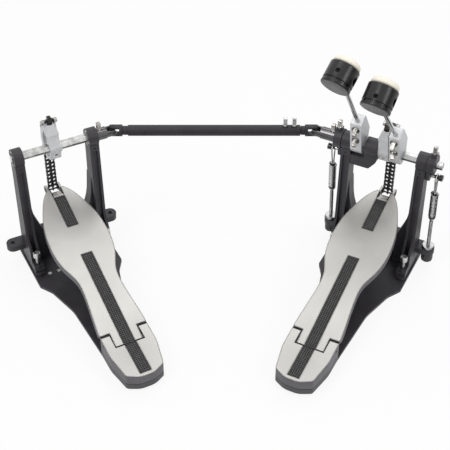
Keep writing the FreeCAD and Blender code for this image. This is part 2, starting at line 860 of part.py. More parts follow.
def hub_bolts(x0, lean):
    bolts = []
    for height in hub_bolt_heights:
        seat = hub_bolt_seat(height)
        bolt = turned(key_bolt(rod_offset - rod_radius - seat - key_tip_gap), X, 90)
        bolts.append(leaning(moved(bolt, V(x0 + hub_width / 2, seat, height)), lean))
    return bolts


def beater(x0, lean, head_turn, head_shift):
    """Rod, moulded head and felt of one beater; the head is turned on its rod and set forwards on it."""
    middle = x0 + hub_width / 2
    rod = z_bar(rod_radius, middle, rod_offset, rod_low_end, head_height + head_rod_depth)
    back = head_shift - head_back
    front_face = head_shift + head_front
    barrel = Part.makeCylinder(head_radius, front_face - back, V(0, back, 0), Y)
    barrel = barrel.makeFillet(1.2, [e for e in barrel.Edges if e.Curve.TypeId == "Part::GeomCircle"])
    band = V(0, back + band_back, 0)
    groove = bar(head_radius + 1, band, Y, band_width).cut(bar(head_radius - 1, band, Y, band_width))
    barrel = barrel.cut(groove)
    barrel = barrel.cut(z_bar(rod_radius + seat_gap, 0, 0, -head_radius - 1, head_radius + 1))
    hole_floor = V(head_radius - head_hole_depth, head_shift, 0)
    barrel = barrel.cut(bar(head_hole_radius, hole_floor, X, head_radius))
    felt = Part.makeCylinder(head_radius - felt_inset, felt_height, V(0, front_face, 0), Y)
    felt = felt.makeFillet(felt_rounding, [e for e in felt.Edges if e.BoundBox.YMin > front_face + 1])
    place = V(middle, rod_offset, head_height)
    head, pad = (moved(turned(shape, Z, head_turn), place) for shape in (barrel, felt))
    return leaning(rod, lean), leaning(head, lean), leaning(pad, lean)


# Axles


journal = hex_flats / 2
arm_middle = arm_boss_from + arm_boss_width / 2
second_hub_from = -post_inner + side_gap


def main_axle():
    """From the bearing arm through the cam, hub, right post and rocker to its free end."""
    axle = x_bar(journal, arm_middle + 0.5, post_outer + axle_overhang)
    axle = axle.fuse(hex_bar(hex_flats, arm_boss_from + arm_boss_width + 0.4, post_inner - 0.4))
    return on_axle(axle.removeSplitter())


def second_beater_axle():
    """From the coupling through the left rocker, left post and hub into the bearing arm."""
    axle = x_bar(journal, -main_joint_reach + yoke_crotch + 6, arm_middle - 0.5)
    axle = axle.fuse(hex_bar(hex_flats, -post_inner + 0.4, arm_boss_from - 0.4))
    return on_axle(axle.removeSplitter())


def second_axle():
    axle = x_bar(journal, -post_outer - 1.5, second_joint_reach - yoke_crotch - 2.5)
    axle = axle.fuse(hex_bar(hex_flats, -post_inner + 0.4, post_inner - 0.4))
    return on_axle(axle.removeSplitter())


def bearing_arm():
    x1 = arm_boss_from + arm_boss_width
    boss = x_bar(boss_radius, arm_boss_from, x1, 0, axle_height)
    arm = front([(-post_inner, arm_bar_bottom, 0), (x1 - 9, arm_bar_bottom, 3),
                 (x1, arm_bar_bottom + 12, 3), (x1, axle_height, 0), (arm_boss_from, axle_height, 0),
                 (arm_boss_from, arm_bar_top, 2), (-post_inner, arm_bar_top, 0)],
                -arm_depth / 2, arm_depth / 2)
    arm = arm.fuse(boss).removeSplitter()
    return arm.cut(x_bar(bearing_radius + seat_gap, arm_boss_from - 1, x1 + 1, 0, axle_height))


def arm_bearings():
    x1 = arm_boss_from + arm_boss_width
    inner = hex_flats / 2 + running_gap
    return [ring(bearing_radius, inner, arm_boss_from, arm_boss_from + arm_bearing_width),
            ring(bearing_radius, inner, x1 - arm_bearing_width, x1)]


# Rockers and springs


rocker_from = post_outer + side_gap
rocker_to = rocker_from + rocker_width
rocker_bolt_x = rocker_to - key_collar_radius


def rocker():
    """Right-hand rocker: a clamp on the axle with an arm down to the spring's pivot."""
    clamp = x_bar(rocker_radius, rocker_from, rocker_to)
    tower = box((rocker_bolt_x - key_collar_radius, rocker_to), (-5, 5), (8, rocker_tower))
    end = -rocker_reach - 7.5
    arm = side([(-8, 0, 0), (8, 0, 0), (7.5, end, 7), (-7.5, end, 7)],
               rocker_from, rocker_from + rocker_plate)
    body = clamp.fuse(tower).fuse(turned(arm, X, rocker_rest)).removeSplitter()
    body = body.cut(x_bar(journal + seat_gap, rocker_from - 1, rocker_to + 1))
    body = body.cut(z_bar(key_shank_radius + seat_gap, rocker_bolt_x, 0, 0, 30))
    pivot_hole = x_bar(pivot_radius + seat_gap, rocker_from - 1, rocker_to, 0, -rocker_reach)
    return on_axle(body.cut(turned(pivot_hole, X, rocker_rest)))


def rocker_bolts():
    """The rocker's clamping bolt and the pivot bolt that carries the spring's link."""
    top = moved(key_bolt(rocker_tower - journal - key_tip_gap), V(rocker_bolt_x, 0, rocker_tower))
    shank_end = lug_x + eye_width / 2 + 0.8
    head_end = shank_end + pivot_head_length
    pivot = x_bar(pivot_radius, rocker_from, shank_end, 0, -rocker_reach)
    head = x_bar(pivot_head_radius, shank_end, head_end, 0, -rocker_reach)
    socket = hex_bar(pivot_head_radius, head_end - 2.6, head_end + 1)
    head = head.cut(moved(socket, V(0, 0, -rocker_reach)))
    return [on_axle(top), on_axle(turned(pivot.fuse(head).removeSplitter(), X, rocker_rest))]


spring_high = spring_low + spring_pitch * spring_turns
eye_height = math.hypot(eye_centre().y - lug_y, eye_centre().z - lug_top)


def spring_link():
    """Eye round the pivot bolt, a neck and a tapered plug in the spring's top turns."""
    half = eye_width / 2
    outer = eye_radius + eye_wall
    eye = x_bar(outer, -half, half, 0, eye_height)
    neck = z_bar(eye_width * 0.45, 0, 0, spring_high + 4, eye_height)
    collar = z_bar(spring_mean_radius + spring_wire / 2, 0, 0, spring_high + 2.3, spring_high + 4.2)
    plug_radius = spring_mean_radius - spring_wire / 2 - 0.35
    plug = Part.makeCone(plug_radius * 0.7, plug_radius, 8, V(0, 0, spring_high - 5.6), Z)
    link = neck.fuse(collar).fuse(plug).fuse(eye).removeSplitter()
    return along_spring(link.cut(x_bar(eye_radius, -half - 1, half + 1, 0, eye_height)))


def spring_adjuster():
    """Threaded rod with a tapered plug in the spring's low turns."""
    rod = z_bar(adjuster_radius, 0, 0, -lug_thickness - knob_height + 2, spring_low - 9)
    spring_radius = spring_mean_radius + spring_wire / 2
    collar = Part.makeCone(adjuster_radius, spring_radius, 6.5, V(0, 0, spring_low - 9), Z)
    plug_radius = spring_mean_radius - spring_wire / 2 - 0.35
    plug = Part.makeCone(plug_radius, plug_radius * 0.7, 8, V(0, 0, spring_low - 2.5), Z)
    return along_spring(rod.fuse(collar).fuse(plug).removeSplitter())


def lock_nut():
    nut = z_bar(lock_nut_radius, 0, 0, 0, lock_nut_height)
    nut = nut.makeChamfer(0.6, [e for e in nut.Edges if e.Curve.TypeId == "Part::GeomCircle"])
    return along_spring(nut.cut(z_bar(adjuster_radius + seat_gap, 0, 0, -1, lock_nut_height + 1)))


def spring_knob():
    """Fluted tension knob under the lug."""
    top = -lug_thickness - 0.3
    knob = z_bar(knob_radius, 0, 0, top - knob_height, top)
    knob = knob.makeChamfer(1.0, [e for e in knob.Edges if e.Curve.TypeId == "Part::GeomCircle"])
    for k in range(knob_flutes):
        angle = 2 * math.pi * k / knob_flutes
        reach = knob_radius + 0.5
        flute = z_bar(1.3, reach * math.cos(angle), reach * math.sin(angle), top - knob_height - 1, top - 4)
        knob = knob.cut(flute)
    bore = z_bar(adjuster_radius + running_gap, 0, 0, top - knob_height - 1, top + 1)
    return along_spring(knob.cut(bore))


def arc_middle(start, corner, end):
    """Middle point of the arc that touches the two legs start-corner and corner-end."""
    chord = (start + end) * 0.5
    bend = (corner - start).getAngle(end - corner)
    rise = (end - start).Length / 2 * math.tan(bend / 4)
    return chord + (corner - chord).normalize() * rise


def biarc(p0, t0, p1, t1):
    """Two tangent arcs from one point and heading to another."""
    v = p1 - p0
    t = t0 + t1
    bend = 2 * (1 - t0.dot(t1))
    reach = (-v.dot(t) + math.sqrt(v.dot(t) ** 2 + bend * v.dot(v))) / bend
    c0 = p0 + t0 * reach
    c1 = p1 - t1 * reach
    joint = (c0 + c1) * 0.5
    return [Part.Arc(p0, arc_middle(p0, c0, joint), joint).toShape(),
            Part.Arc(joint, arc_middle(joint, c1, p1), p1).toShape()]


def spring():
    """Wound tension spring: one tube whose turns are biarcs of a quarter turn."""
    r = spring_mean_radius
    rise = spring_pitch / (2 * math.pi)
    points = []
    headings = []
    for k in range(4 * spring_turns + 1):
        a = k * math.pi / 2
        points.append(V(r * math.cos(a), r * math.sin(a), spring_low + rise * a))
        headings.append(V(-r * math.sin(a), r * math.cos(a), rise).normalize())
    first = points[0] - headings[0] * spring_wire
    last = points[-1] + headings[-1] * spring_wire
    edges = [Part.makeLine(first, points[0])]
    for k in range(len(points) - 1):
        edges += biarc(points[k], headings[k], points[k + 1], headings[k + 1])
    edges.append(Part.makeLine(points[-1], last))
    path = Part.Wire(edges)
    section = Part.Wire([Part.Circle(first, headings[0], spring_wire / 2).toShape()])
    tube = path.makePipeShell([section], True, False)
    turn_gap = min((points[k + 4] - points[k]).Length for k in range(len(points) - 4)) - spring_wire
    print("least gap between the spring's turns, mm:", round(turn_gap, 3))
    print("spring tube volume against section times length:",
          round(tube.Volume, 2), round(math.pi * spring_wire ** 2 / 4 * path.Length, 2))
    return along_spring(tube)


# Drive shaft with its universal joints; each yoke's own frame has the joint's centre at the origin


def fork(gap, tine, body_radius, length):
    """Yoke along +x from the joint's centre, with tines above and below it and a pin hole each."""
    outer = gap + tine
    tines = None
    for low in (-outer, gap):
        plate = plan([(-yoke_end_radius, -yoke_end_radius, yoke_end_radius * 0.999),
                      (yoke_crotch + 3, -yoke_end_radius, 0), (yoke_crotch + 3, yoke_end_radius, 0),
                      (-yoke_end_radius, yoke_end_radius, yoke_end_radius * 0.999)], low, low + tine)
        tines = plate if tines is None else tines.fuse(plate)
    stem = x_bar(body_radius, yoke_crotch, length)
    root = x_bar(outer + 0.6, yoke_crotch, yoke_crotch + 3.5)
    tines = tines.common(x_bar(outer + 0.6, -20, 40))
    return tines.fuse(stem).fuse(root).removeSplitter()


def with_pin_holes(yoke, gap):
    return yoke.cut(z_bar(cross_pin_radius + gap, 0, 0, -20, 20))


def coupling(stem_length, bore_from):
    """Axle-side yoke: tines in the level plane, a bored stem and a key bolt on top."""
    yoke = turned(fork(yoke_gap, yoke_tine, coupling_radius, stem_length), X, 90)
    yoke = yoke.cut(bar(cross_pin_radius + running_gap, V(0, -20, 0), Y, 40))
    yoke = yoke.cut(x_bar(journal + seat_gap, bore_from, stem_length + 1))
    bolt_x = stem_length - key_collar_radius
    seat = coupling_radius - 1
    yoke = yoke.cut(box((bolt_x - key_collar_radius, stem_length + 1),
                        (-coupling_radius, coupling_radius), (seat, seat + 5)))
    yoke = yoke.cut(z_bar(key_shank_radius + seat_gap, bolt_x, 0, 0, seat + 1))
    bolt = moved(key_bolt(seat - journal - key_tip_gap), V(bolt_x, 0, seat))
    return yoke, bolt


def joint_cross():
    """Cross with its four round pins, level and upright."""
    half = yoke_gap + yoke_tine + 0.3
    cross = box((-3.4, 3.4), (-3.4, 3.4), (-3.4, 3.4))
    cross = cross.makeChamfer(0.8, cross.Edges)
    cross = cross.fuse(z_bar(cross_pin_radius, 0, 0, -half, half))
    return cross.fuse(bar(cross_pin_radius, V(0, -half, 0), Y, 2 * half)).removeSplitter()


def drive_tube():
    """Outer tube with the yoke at the second pedal's end, in the frame of that joint."""
    yoke = with_pin_holes(fork(yoke_gap, yoke_tine, neck_radius, tube_from + 2), cross_free_gap)
    tube = x_bar(tube_radius, tube_from, tube_to)
    tube = tube.fuse(yoke).removeSplitter()
    tube = tube.cut(x_bar(tube_bore, tube_from + 6, tube_to + 1))
    for place in lock_screw_places:
        tube = tube.cut(z_bar(lock_screw_radius + seat_gap, tube_to - place, 0, 0, tube_radius + 1))
    return moved(tube, second_joint)


def tube_screws():
    screws = []
    for place in lock_screw_places:
        stand = tube_radius + lock_screw_stand
        screw = key_bolt(stand - drive_rod_radius - key_tip_gap, lock_screw_radius)
        screws.append(moved(screw, second_joint + V(tube_to - place, 0, stand)))
    return screws


def drive_rod():
    """Inner rod with the yoke at the main pedal's end, in the frame of that joint."""
    yoke = turned(fork(yoke_gap, yoke_tine, neck_radius, drive_length - tube_to - 1), Z, 180)
    yoke = with_pin_holes(yoke, cross_free_gap)
    rod = x_bar(drive_rod_radius, -drive_length + drive_rod_end, -yoke_crotch - 3)
    return moved(yoke.fuse(rod).removeSplitter(), main_joint)


# Hoop clamp at the drum's end of the main pedal


def main_crossbar():
    """Crossbar with a lowered middle and the two ears that carry the hoop jaw's pin."""
    bar_body = crossbar()
    y0, y1 = post_back, post_back + crossbar_depth
    room = jaw_half + jaw_side_gap
    reach = room + jaw_ear + 8
    bar_body = bar_body.cut(box((-room, room), (y0 - 1, y1 + 1), (jaw_pivot_z - 10.5, 80)))
    return bar_body.cut(x_bar(jaw_pin_radius + seat_gap, -reach, reach, jaw_pivot_y, jaw_pivot_z))


def hoop_pin():
    reach = jaw_half + jaw_side_gap + jaw_ear + 7
    return x_bar(jaw_pin_radius, -reach, reach, jaw_pivot_y, jaw_pivot_z)


def hoop_jaw():
    """Lever over the crossbar: a nose above the hoop and a tail for the wing screw."""
    body = side([(jaw_screw_y - 8, jaw_pivot_z - 5, 3), (jaw_pivot_y - 9, jaw_pivot_z - 5, 0),
                 (jaw_pivot_y, jaw_pivot_z - 8, 6), (jaw_pivot_y + 9, jaw_pivot_z - 6, 0),
                 (jaw_nose_end - 16, jaw_nose_bottom + 3, 3), (jaw_nose_end - 12, jaw_nose_bottom, 1),
                 (jaw_nose_end, jaw_nose_bottom, 2), (jaw_nose_end, jaw_nose_bottom + 7, 4),
                 (jaw_pivot_y + 8, jaw_pivot_z + 6, 10), (jaw_screw_y - 8, jaw_pivot_z + 4, 3)],
                -jaw_half, jaw_half)
    body = body.cut(x_bar(jaw_pin_radius + running_gap, -30, 30, jaw_pivot_y, jaw_pivot_z))
    return body.cut(z_bar(jaw_screw_radius + running_gap, 0, jaw_screw_y, 0, 60))


def hoop_screw():
    """Wing screw through the jaw's tail, with its tip just above the base plate."""
    top = jaw_pivot_z + 9.5
    screw = z_bar(jaw_screw_radius, 0, jaw_screw_y, base_thickness + 0.3, top + 6)
    wing = front([(-13, top + 8, 3), (-5, top - 0.5, 1), (5, top - 0.5, 1), (13, top + 8, 3),
                  (4, top + 6.5, 1), (-4, top + 6.5, 1)], jaw_screw_y - 1.6, jaw_screw_y + 1.6)
    return screw.fuse(wing).fuse(z_bar(5, 0, jaw_screw_y, top - 0.5, top + 6)).removeSplitter()


# Assembly

post = right_post()
posts = [post, flipped(post)]

keep("main_base_plate", on_main(base_plate(True)))
keep("main_posts", *[on_main(shape) for shape in posts])
keep("main_crossbar", on_main(main_crossbar()))
keep("bearing_arm", on_main(bearing_arm()))
keep("main_bearings", *[on_main(shape) for shape in post_bearings() + arm_bearings()])
keep("main_heel_plate", on_main(heel_plate()))
keep("main_heel_grip", on_main(heel_grip()))
keep("main_hinge_pin", on_main(hinge_pin()))
keep("main_spurs", *[on_main(shape) for shape in spurs()])
keep("main_footboard", on_main(footboard()))
keep("main_board_grips", *[on_main(shape) for shape in board_grips()])
keep("main_axle", on_main(main_axle()))
keep("main_cam", on_main(cam(main_cam_tilt)))
keep("main_beater_hub", on_main(beater_hub(main_hub_from, main_lean)))
keep("right_rocker", on_main(rocker()))
main_bolts = cam_bolts(main_cam_tilt) + hub_bolts(main_hub_from, main_lean) + rocker_bolts()
keep("main_key_bolts", *[on_main(shape) for shape in main_bolts])
keep("main_chain_wrap", on_main(chain_wrap()))
keep("main_chain_span", on_main(chain_span()))
beater_pieces = ("rod", "head", "felt")
main_beater = beater(main_hub_from, main_lean, main_head_turn, main_head_shift)
for name, shape in zip(beater_pieces, main_beater):
    keep("main_beater_" + name, on_main(shape))

wound = spring()
adjusters = []
for side_name, place in (("right", on_main), ("left", lambda shape: on_main(flipped(shape)))):
    keep(side_name + "_spring", place(wound))
    keep(side_name + "_spring_link", place(spring_link()))
    keep(side_name + "_spring_knob", place(spring_knob()))
    adjusters += [place(spring_adjuster()), place(lock_nut())]
keep("spring_adjusters", *adjusters)
keep("hoop_pin", on_main(hoop_pin()))
keep("hoop_jaw", on_main(hoop_jaw()))
keep("hoop_screw", on_main(hoop_screw()))

main_stem = main_joint_reach - post_outer - rocker_width - 2 * side_gap
main_yoke, main_yoke_bolt = coupling(main_stem, yoke_crotch + 5)
main_yoke_place = V(-main_joint_reach, 0, axle_height)
left_rocker_bolts = [flipped(shape) for shape in rocker_bolts()]
keep("second_beater_axle", on_main(second_beater_axle()))
keep("second_beater_hub", on_main(beater_hub(second_hub_from, second_lean)))
keep("left_rocker", on_main(flipped(rocker())))
keep("main_coupling", on_main(moved(main_yoke, main_yoke_place)))
second_beater_bolts = hub_bolts(second_hub_from, second_lean) + left_rocker_bolts
second_beater_bolts.append(moved(main_yoke_bolt, main_yoke_place))
keep("second_beater_bolts", *[on_main(shape) for shape in second_beater_bolts])
keep("main_cross", on_main(moved(joint_cross(), main_yoke_place)))
second_beater = beater(second_hub_from, second_lean, second_head_turn, second_head_shift)
for name, shape in zip(beater_pieces, second_beater):
    keep("second_beater_" + name, on_main(shape))

keep("drive_tube", drive_tube())
keep("tube_lock_screws", *tube_screws())
keep("drive_rod", drive_rod())

second_stem = second_joint_reach - post_outer - side_gap
second_yoke, second_yoke_bolt = coupling(second_stem, yoke_crotch + 2)
second_yoke_place = V(second_joint_reach, 0, axle_height)
second_yoke = moved(turned(second_yoke, Z, 180), second_yoke_place)
second_yoke_bolt = moved(turned(second_yoke_bolt, Z, 180), second_yoke_place)
keep("second_base_plate", on_second(second_base()))
keep("second_posts", *[on_second(shape) for shape in posts])
keep("second_crossbar", on_second(crossbar()))
keep("second_bearings", *[on_second(shape) for shape in post_bearings()])
keep("second_heel_plate", on_second(heel_plate()))
keep("second_heel_grip", on_second(heel_grip()))
keep("second_hinge_pin", on_second(hinge_pin()))
keep("second_spurs", *[on_second(shape) for shape in spurs()])
keep("second_footboard", on_second(footboard()))
keep("second_board_grips", *[on_second(shape) for shape in board_grips()])
keep("second_axle", on_second(second_axle()))
keep("second_cam", on_second(cam(second_cam_tilt)))
keep("second_coupling", on_second(second_yoke))
keep("second_key_bolts", *[on_second(shape) for shape in cam_bolts(second_cam_tilt) + [second_yoke_bolt]])
keep("second_cross", on_second(moved(joint_cross(), second_yoke_place)))
keep("second_chain_wrap", on_second(chain_wrap()))
keep("second_chain_span", on_second(chain_span()))

os.makedirs("parts", exist_ok=True)
for name, shape in parts.items():
    shape.exportStep("parts/" + name + ".step")
print(len(parts), "nodes")
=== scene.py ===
import bpy
import bmesh
import json
import math
from mathutils import Matrix, Vector, noise


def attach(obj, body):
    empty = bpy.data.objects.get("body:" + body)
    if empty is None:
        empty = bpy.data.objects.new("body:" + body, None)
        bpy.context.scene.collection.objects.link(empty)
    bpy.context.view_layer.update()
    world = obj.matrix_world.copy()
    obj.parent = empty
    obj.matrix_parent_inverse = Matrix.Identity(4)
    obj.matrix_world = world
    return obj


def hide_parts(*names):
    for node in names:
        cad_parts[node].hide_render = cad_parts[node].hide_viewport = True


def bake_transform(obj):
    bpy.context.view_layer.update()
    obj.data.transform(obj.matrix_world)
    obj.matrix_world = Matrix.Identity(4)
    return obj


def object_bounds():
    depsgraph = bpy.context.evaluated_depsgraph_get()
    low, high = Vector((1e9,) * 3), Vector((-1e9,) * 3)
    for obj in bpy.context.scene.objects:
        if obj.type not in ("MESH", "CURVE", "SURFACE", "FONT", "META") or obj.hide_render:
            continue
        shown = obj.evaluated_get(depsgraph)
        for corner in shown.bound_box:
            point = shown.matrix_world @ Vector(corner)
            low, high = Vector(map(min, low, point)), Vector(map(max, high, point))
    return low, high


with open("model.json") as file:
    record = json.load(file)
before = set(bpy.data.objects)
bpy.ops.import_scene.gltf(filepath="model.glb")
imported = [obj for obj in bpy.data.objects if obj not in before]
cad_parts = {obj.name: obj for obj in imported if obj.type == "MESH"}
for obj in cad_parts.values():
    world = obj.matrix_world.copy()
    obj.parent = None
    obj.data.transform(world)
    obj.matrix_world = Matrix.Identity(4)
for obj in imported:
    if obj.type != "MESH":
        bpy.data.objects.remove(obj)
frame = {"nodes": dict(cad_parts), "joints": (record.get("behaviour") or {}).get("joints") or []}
cad_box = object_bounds()
nodes = frame["nodes"]
scene = bpy.context.scene
scene.view_settings.view_transform = "Standard"

# The photograph's standpoint: a long lens above the player's side, level and looking down at
# the drive shaft. The focal length is in pixels of the 450-pixel frame.
frame_pixels = 450
focal_pixels = 1084.5
look_down = math.radians(40.62)
standpoint = (-0.2057, -1.1164, 1.01175)
view_depth = 20.0
camera_data = bpy.data.cameras.new("camera")
camera_data.sensor_width = 36.0
camera_data.lens = focal_pixels / frame_pixels * camera_data.sensor_width
camera_data.clip_end = view_depth
camera = bpy.data.objects.new("camera", camera_data)
camera.location = standpoint
camera.rotation_euler = (math.pi / 2 - look_down, 0.0, 0.0)
scene.collection.objects.link(camera)
scene.camera = camera


# The studio: a white paper floor and an even white surround, with soft lamps above. What the
# camera or a polished piece sees of them is white, and the floor keeps a soft shadow. Dark
# cards that only mirrors see give the bright metal its streaks.
class Wire:
    """A shader socket that takes part in Python sums; each operation adds its Math node."""

    def __init__(self, tree, socket=None):
        self.tree = tree
        self.socket = socket

    def add(self, kind, settings=None, sockets=None, out=0):
        """A new node with its settings made first, then its sockets filled or linked."""
        node = self.tree.nodes.new("ShaderNode" + kind)
        for name, value in (settings or {}).items():
            setattr(node, name, value)
        for name, value in (sockets or {}).items():
            if isinstance(value, Wire):
                self.tree.links.new(value.socket, node.inputs[name])
            else:
                node.inputs[name].default_value = value
        return Wire(self.tree, node.outputs[out]) if node.outputs else None

    def sum(self, operation, *values):
        return self.add("Math", {"operation": operation}, dict(enumerate(values)))

    def between(self, low, high):
        """A colour from low to high, by this value."""
        return self.add("Mix", {"data_type": "RGBA"}, {0: self, 6: low, 7: high}, 2)

    def clipped(self, low, high):
        """This value run from 0 at low to 1 at high, and level beyond."""
        return self.add("MapRange", None, {"Value": self, "From Min": low, "From Max": high})

    def __add__(self, other):
        return self.sum("ADD", self, other)

    def __radd__(self, other):
        return self.sum("ADD", other, self)

    def __sub__(self, other):
        return self.sum("SUBTRACT", self, other)

    def __rsub__(self, other):
        return self.sum("SUBTRACT", other, self)

    def __mul__(self, other):
        return self.sum("MULTIPLY", self, other)

    def __rmul__(self, other):
        return self.sum("MULTIPLY", other, self)


def shown(pen):
    """1 for what the camera sees straight, mirrored or through glass, else 0."""
    path = pen.add("LightPath", None, None, "Is Camera Ray")
    seen = path
    for kind in ("Is Glossy Ray", "Is Transmission Ray"):
        seen = seen.sum("MAXIMUM", seen, Wire(pen.tree, path.socket.node.outputs[kind]))
    return seen


def blank(name):
    """A new material without nodes, and a pen that adds them."""
    made = bpy.data.materials.new(name)
    made.use_nodes = True
    made.node_tree.nodes.clear()
    return made, Wire(made.node_tree)


def flat_sheet(name, size, place, look):
    """A flat rectangle of the studio with its finish, put in the scene."""
    bm = bmesh.new()
    bmesh.ops.create_grid(bm, x_segments=1, y_segments=1, size=0.5)
    bmesh.ops.scale(bm, verts=bm.verts, vec=(*size, 1))
    bmesh.ops.transform(bm, verts=bm.verts, matrix=place)
    mesh = bpy.data.meshes.new(name)
    bm.to_mesh(mesh)
    bm.free()
    mesh.materials.append(look)
    made = bpy.data.objects.new(name, mesh)
    scene.collection.objects.link(made)
    return made


full_white = (1, 1, 1, 1)
surround_light = 0.55
world = bpy.data.worlds.new("studio")
scene.world = world
world.use_nodes = True
world.node_tree.nodes.clear()
air = Wire(world.node_tree)
brightness = surround_light + (1 - surround_light) * shown(air)
glow = air.add("Background", None, {"Color": full_white, "Strength": brightness})
air.add("OutputWorld", None, {"Surface": glow})

floor_size = 12.0
floor_drop = 0.0004
paper_colour = (0.9, 0.9, 0.9, 1)
paper_glow = 0.88
paper, pen = blank("paper")
matte = pen.add("BsdfDiffuse", None, {"Color": paper_colour})
white = pen.add("Emission", None, {"Color": full_white, "Strength": 1.0})
mixed = pen.add("MixShader", None, {0: paper_glow * shown(pen), 1: matte, 2: white})
pen.add("OutputMaterial", None, {"Surface": mixed})
floor = flat_sheet("floor", (floor_size, floor_size), Matrix.Translation((0, 0, -floor_drop)), paper)

middle = (cad_box[0] + cad_box[1]) / 2


def aimed(place):
    """The turn that points a lamp or card at the middle of the object."""
    return (middle - Vector(place)).to_track_quat("-Z", "Y")


for name, place, size, power in (("key_lamp", (-1.2, -0.9, 1.8), (0.4, 1.3), 11.0),
                                 ("top_lamp", (0.2, 1.3, 1.7), (1.6, 0.9), 9.0),
                                 ("fill_lamp", (1.15, -1.0, 1.25), (0.22, 0.9), 6.0),
                                 ("shaft_lamp", (-0.2, -0.03, 1.3), (1.0, 0.1), 1.8)):
    lamp = bpy.data.lights.new(name, "AREA")
    lamp.shape = "RECTANGLE"
    lamp.size, lamp.size_y = size
    lamp.energy = power
    holder = bpy.data.objects.new(name, lamp)
    holder.location = place
    holder.rotation_euler = aimed(place).to_euler()
    scene.collection.objects.link(holder)

card_colour = (0.02, 0.02, 0.02, 1)
card_black, pen = blank("card_black")
dull = pen.add("BsdfDiffuse", None, {"Color": card_colour})
pen.add("OutputMaterial", None, {"Surface": dull})
unturned = Matrix.Identity(4)
for name, place, size, lying in (("right_card", (1.35, -0.75, 0.45), (0.8, 1.3), False),
                                 ("front_card", (-0.15, -1.75, 0.25), (2.2, 0.8), False),
                                 ("left_card", (-1.6, -0.1, 0.4), (0.7, 1.0), False),
                                 ("low_card", (0.22, -0.08, 0.002), (0.22, 0.26), True)):
    turn = unturned if lying else aimed(place).to_matrix().to_4x4()
    card = flat_sheet(name, size, Matrix.Translation(place) @ turn, card_black)
    card.visible_camera = False
    card.visible_diffuse = False
    card.visible_shadow = False


# Base plates and crossbars: pressed and bent steel, sprayed in dark charcoal paint with a fine
# satin grain. The posts are screwed down on them. Rubbed edges let a little grey show.
def material(name):
    """A new material; gives it, a pen for its nodes and the object coordinates."""
    made, pen = blank(name)
    return made, pen, pen.add("TexCoord", None, None, "Object")


def finish(pen, sockets):
    """The surface shader of a material, and its output."""
    pen.add("OutputMaterial", None, {"Surface": pen.add("BsdfPrincipled", None, sockets)})


def grain(pen, place, scale, detail=2.0):
    return pen.add("TexNoise", None, {"Vector": place, "Scale": scale, "Detail": detail})


def relief(pen, strength, depth, height, soft=None):
    """The normal over a fine relief, on top of softened edges where they are given."""
    under = {} if soft is None else {"Normal": soft}
    return pen.add("Bump", None, {"Strength": strength, "Distance": depth, "Height": height, **under})


def rounded(pen, radius, low=0.02, high=0.25):
    """The normal over softly rounded edges, and a mask of those edges."""
    soft = pen.add("Bevel", {"samples": 4}, {"Radius": radius})
    flat = pen.add("NewGeometry", None, None, "Normal")
    same = pen.add("VectorMath", {"operation": "DOT_PRODUCT"}, {0: soft, 1: flat}, "Value")
    return soft, (1 - same).clipped(low, high)


def tone(colour, share=1.0):
    """A colour made lighter or darker by a share, with its alpha."""
    return (*[min(part * share, 1.0) for part in colour], 1)


def clouded(cloud, colour, dark, light, low=0.3, high=0.7):
    """A colour that a cloud takes from a darker share to a lighter one."""
    return cloud.clipped(low, high).between(tone(colour, dark), tone(colour, light))


def away_from(pen, place, spot):
    """How far the surface lies from a spot on the object."""
    return pen.add("VectorMath", {"operation": "DISTANCE"}, {0: place, 1: spot}, "Value")


def near(pen, place, spots, reach):
    """1 within a reach of any of some spots on the object, else 0."""
    found = 0.0
    for spot in spots:
        found = pen.sum("MAXIMUM", pen.sum("LESS_THAN", away_from(pen, place, spot), reach), found)
    return found


# Bright colour that is painted light: the white floor seen through holes.
painted_hole_light = (0.8, 0.8, 0.8, 1)


def painted(name, colour, roughness, shine, edge_wear_and_highlight_tone, edge_radius=0.0006, painted_light_spots=(), painted_light_reach=0.0):
    """Satin paint: clouded tone, fine grain, lighter edges that are wear and, on the knob, a painted
    highlight, and painted light near some spots.
    """
    made, pen, place = material(name)
    cloud = grain(pen, place, 40.0, 3.0)
    speck = grain(pen, place, 1500.0)
    soft, edge = rounded(pen, edge_radius)
    # Edges lighter: wear, and a painted highlight where the edge tone is high, as on the knob.
    scuff_and_highlight = edge * grain(pen, place, 130.0, 4.0).clipped(0.45, 0.65) * 0.8
    body = scuff_and_highlight.between(clouded(cloud, colour, 0.82, 1.2), tone(colour, edge_wear_and_highlight_tone))
    # Painted light: bright near some spots.
    if painted_light_spots:
        body = near(pen, place, painted_light_spots, painted_light_reach).between(body, painted_hole_light)
    finish(pen, {"Base Color": body, "Roughness": roughness - 0.07 + 0.14 * cloud,
                 "Normal": relief(pen, 0.15, 0.0002, speck, soft), "Specular IOR Level": shine})
    return made


facet_angle = math.radians(28)
weld_distance = 1e-6
smooth_tree = bpy.data.node_groups.new("smooth_facets", "GeometryNodeTree")
for way in ("INPUT", "OUTPUT"):
    smooth_tree.interface.new_socket("Geometry", in_out=way, socket_type="NodeSocketGeometry")
steps = [smooth_tree.nodes.new(kind) for kind in (
    "NodeGroupInput", "GeometryNodeMergeByDistance", "GeometryNodeSetShadeSmooth",
    "GeometryNodeSetShadeSmooth", "NodeGroupOutput")]
steps[1].inputs["Distance"].default_value = weld_distance
steps[3].domain = "EDGE"
for one, other in zip(steps, steps[1:]):
    smooth_tree.links.new(one.outputs[0], other.inputs[0])
edge_angle = smooth_tree.nodes.new("GeometryNodeInputMeshEdgeAngle")
is_flat = smooth_tree.nodes.new("FunctionNodeCompare")
is_flat.operation = "LESS_THAN"
is_flat.inputs["B"].default_value = facet_angle
smooth_tree.links.new(edge_angle.outputs["Unsigned Angle"], is_flat.inputs["A"])
smooth_tree.links.new(is_flat.outputs[0], steps[3].inputs["Shade Smooth"])


def wear(look, *names):
    """Give CAD nodes a finish, and smooth shading over their small facets."""
    for name in names:
        node = nodes[name]
        node.data.materials.clear()
        node.data.materials.append(look)
        node.modifiers.new("smooth_facets", "NODES").node_group = smooth_tree


millimetre = 0.001
axle_height = 180.0


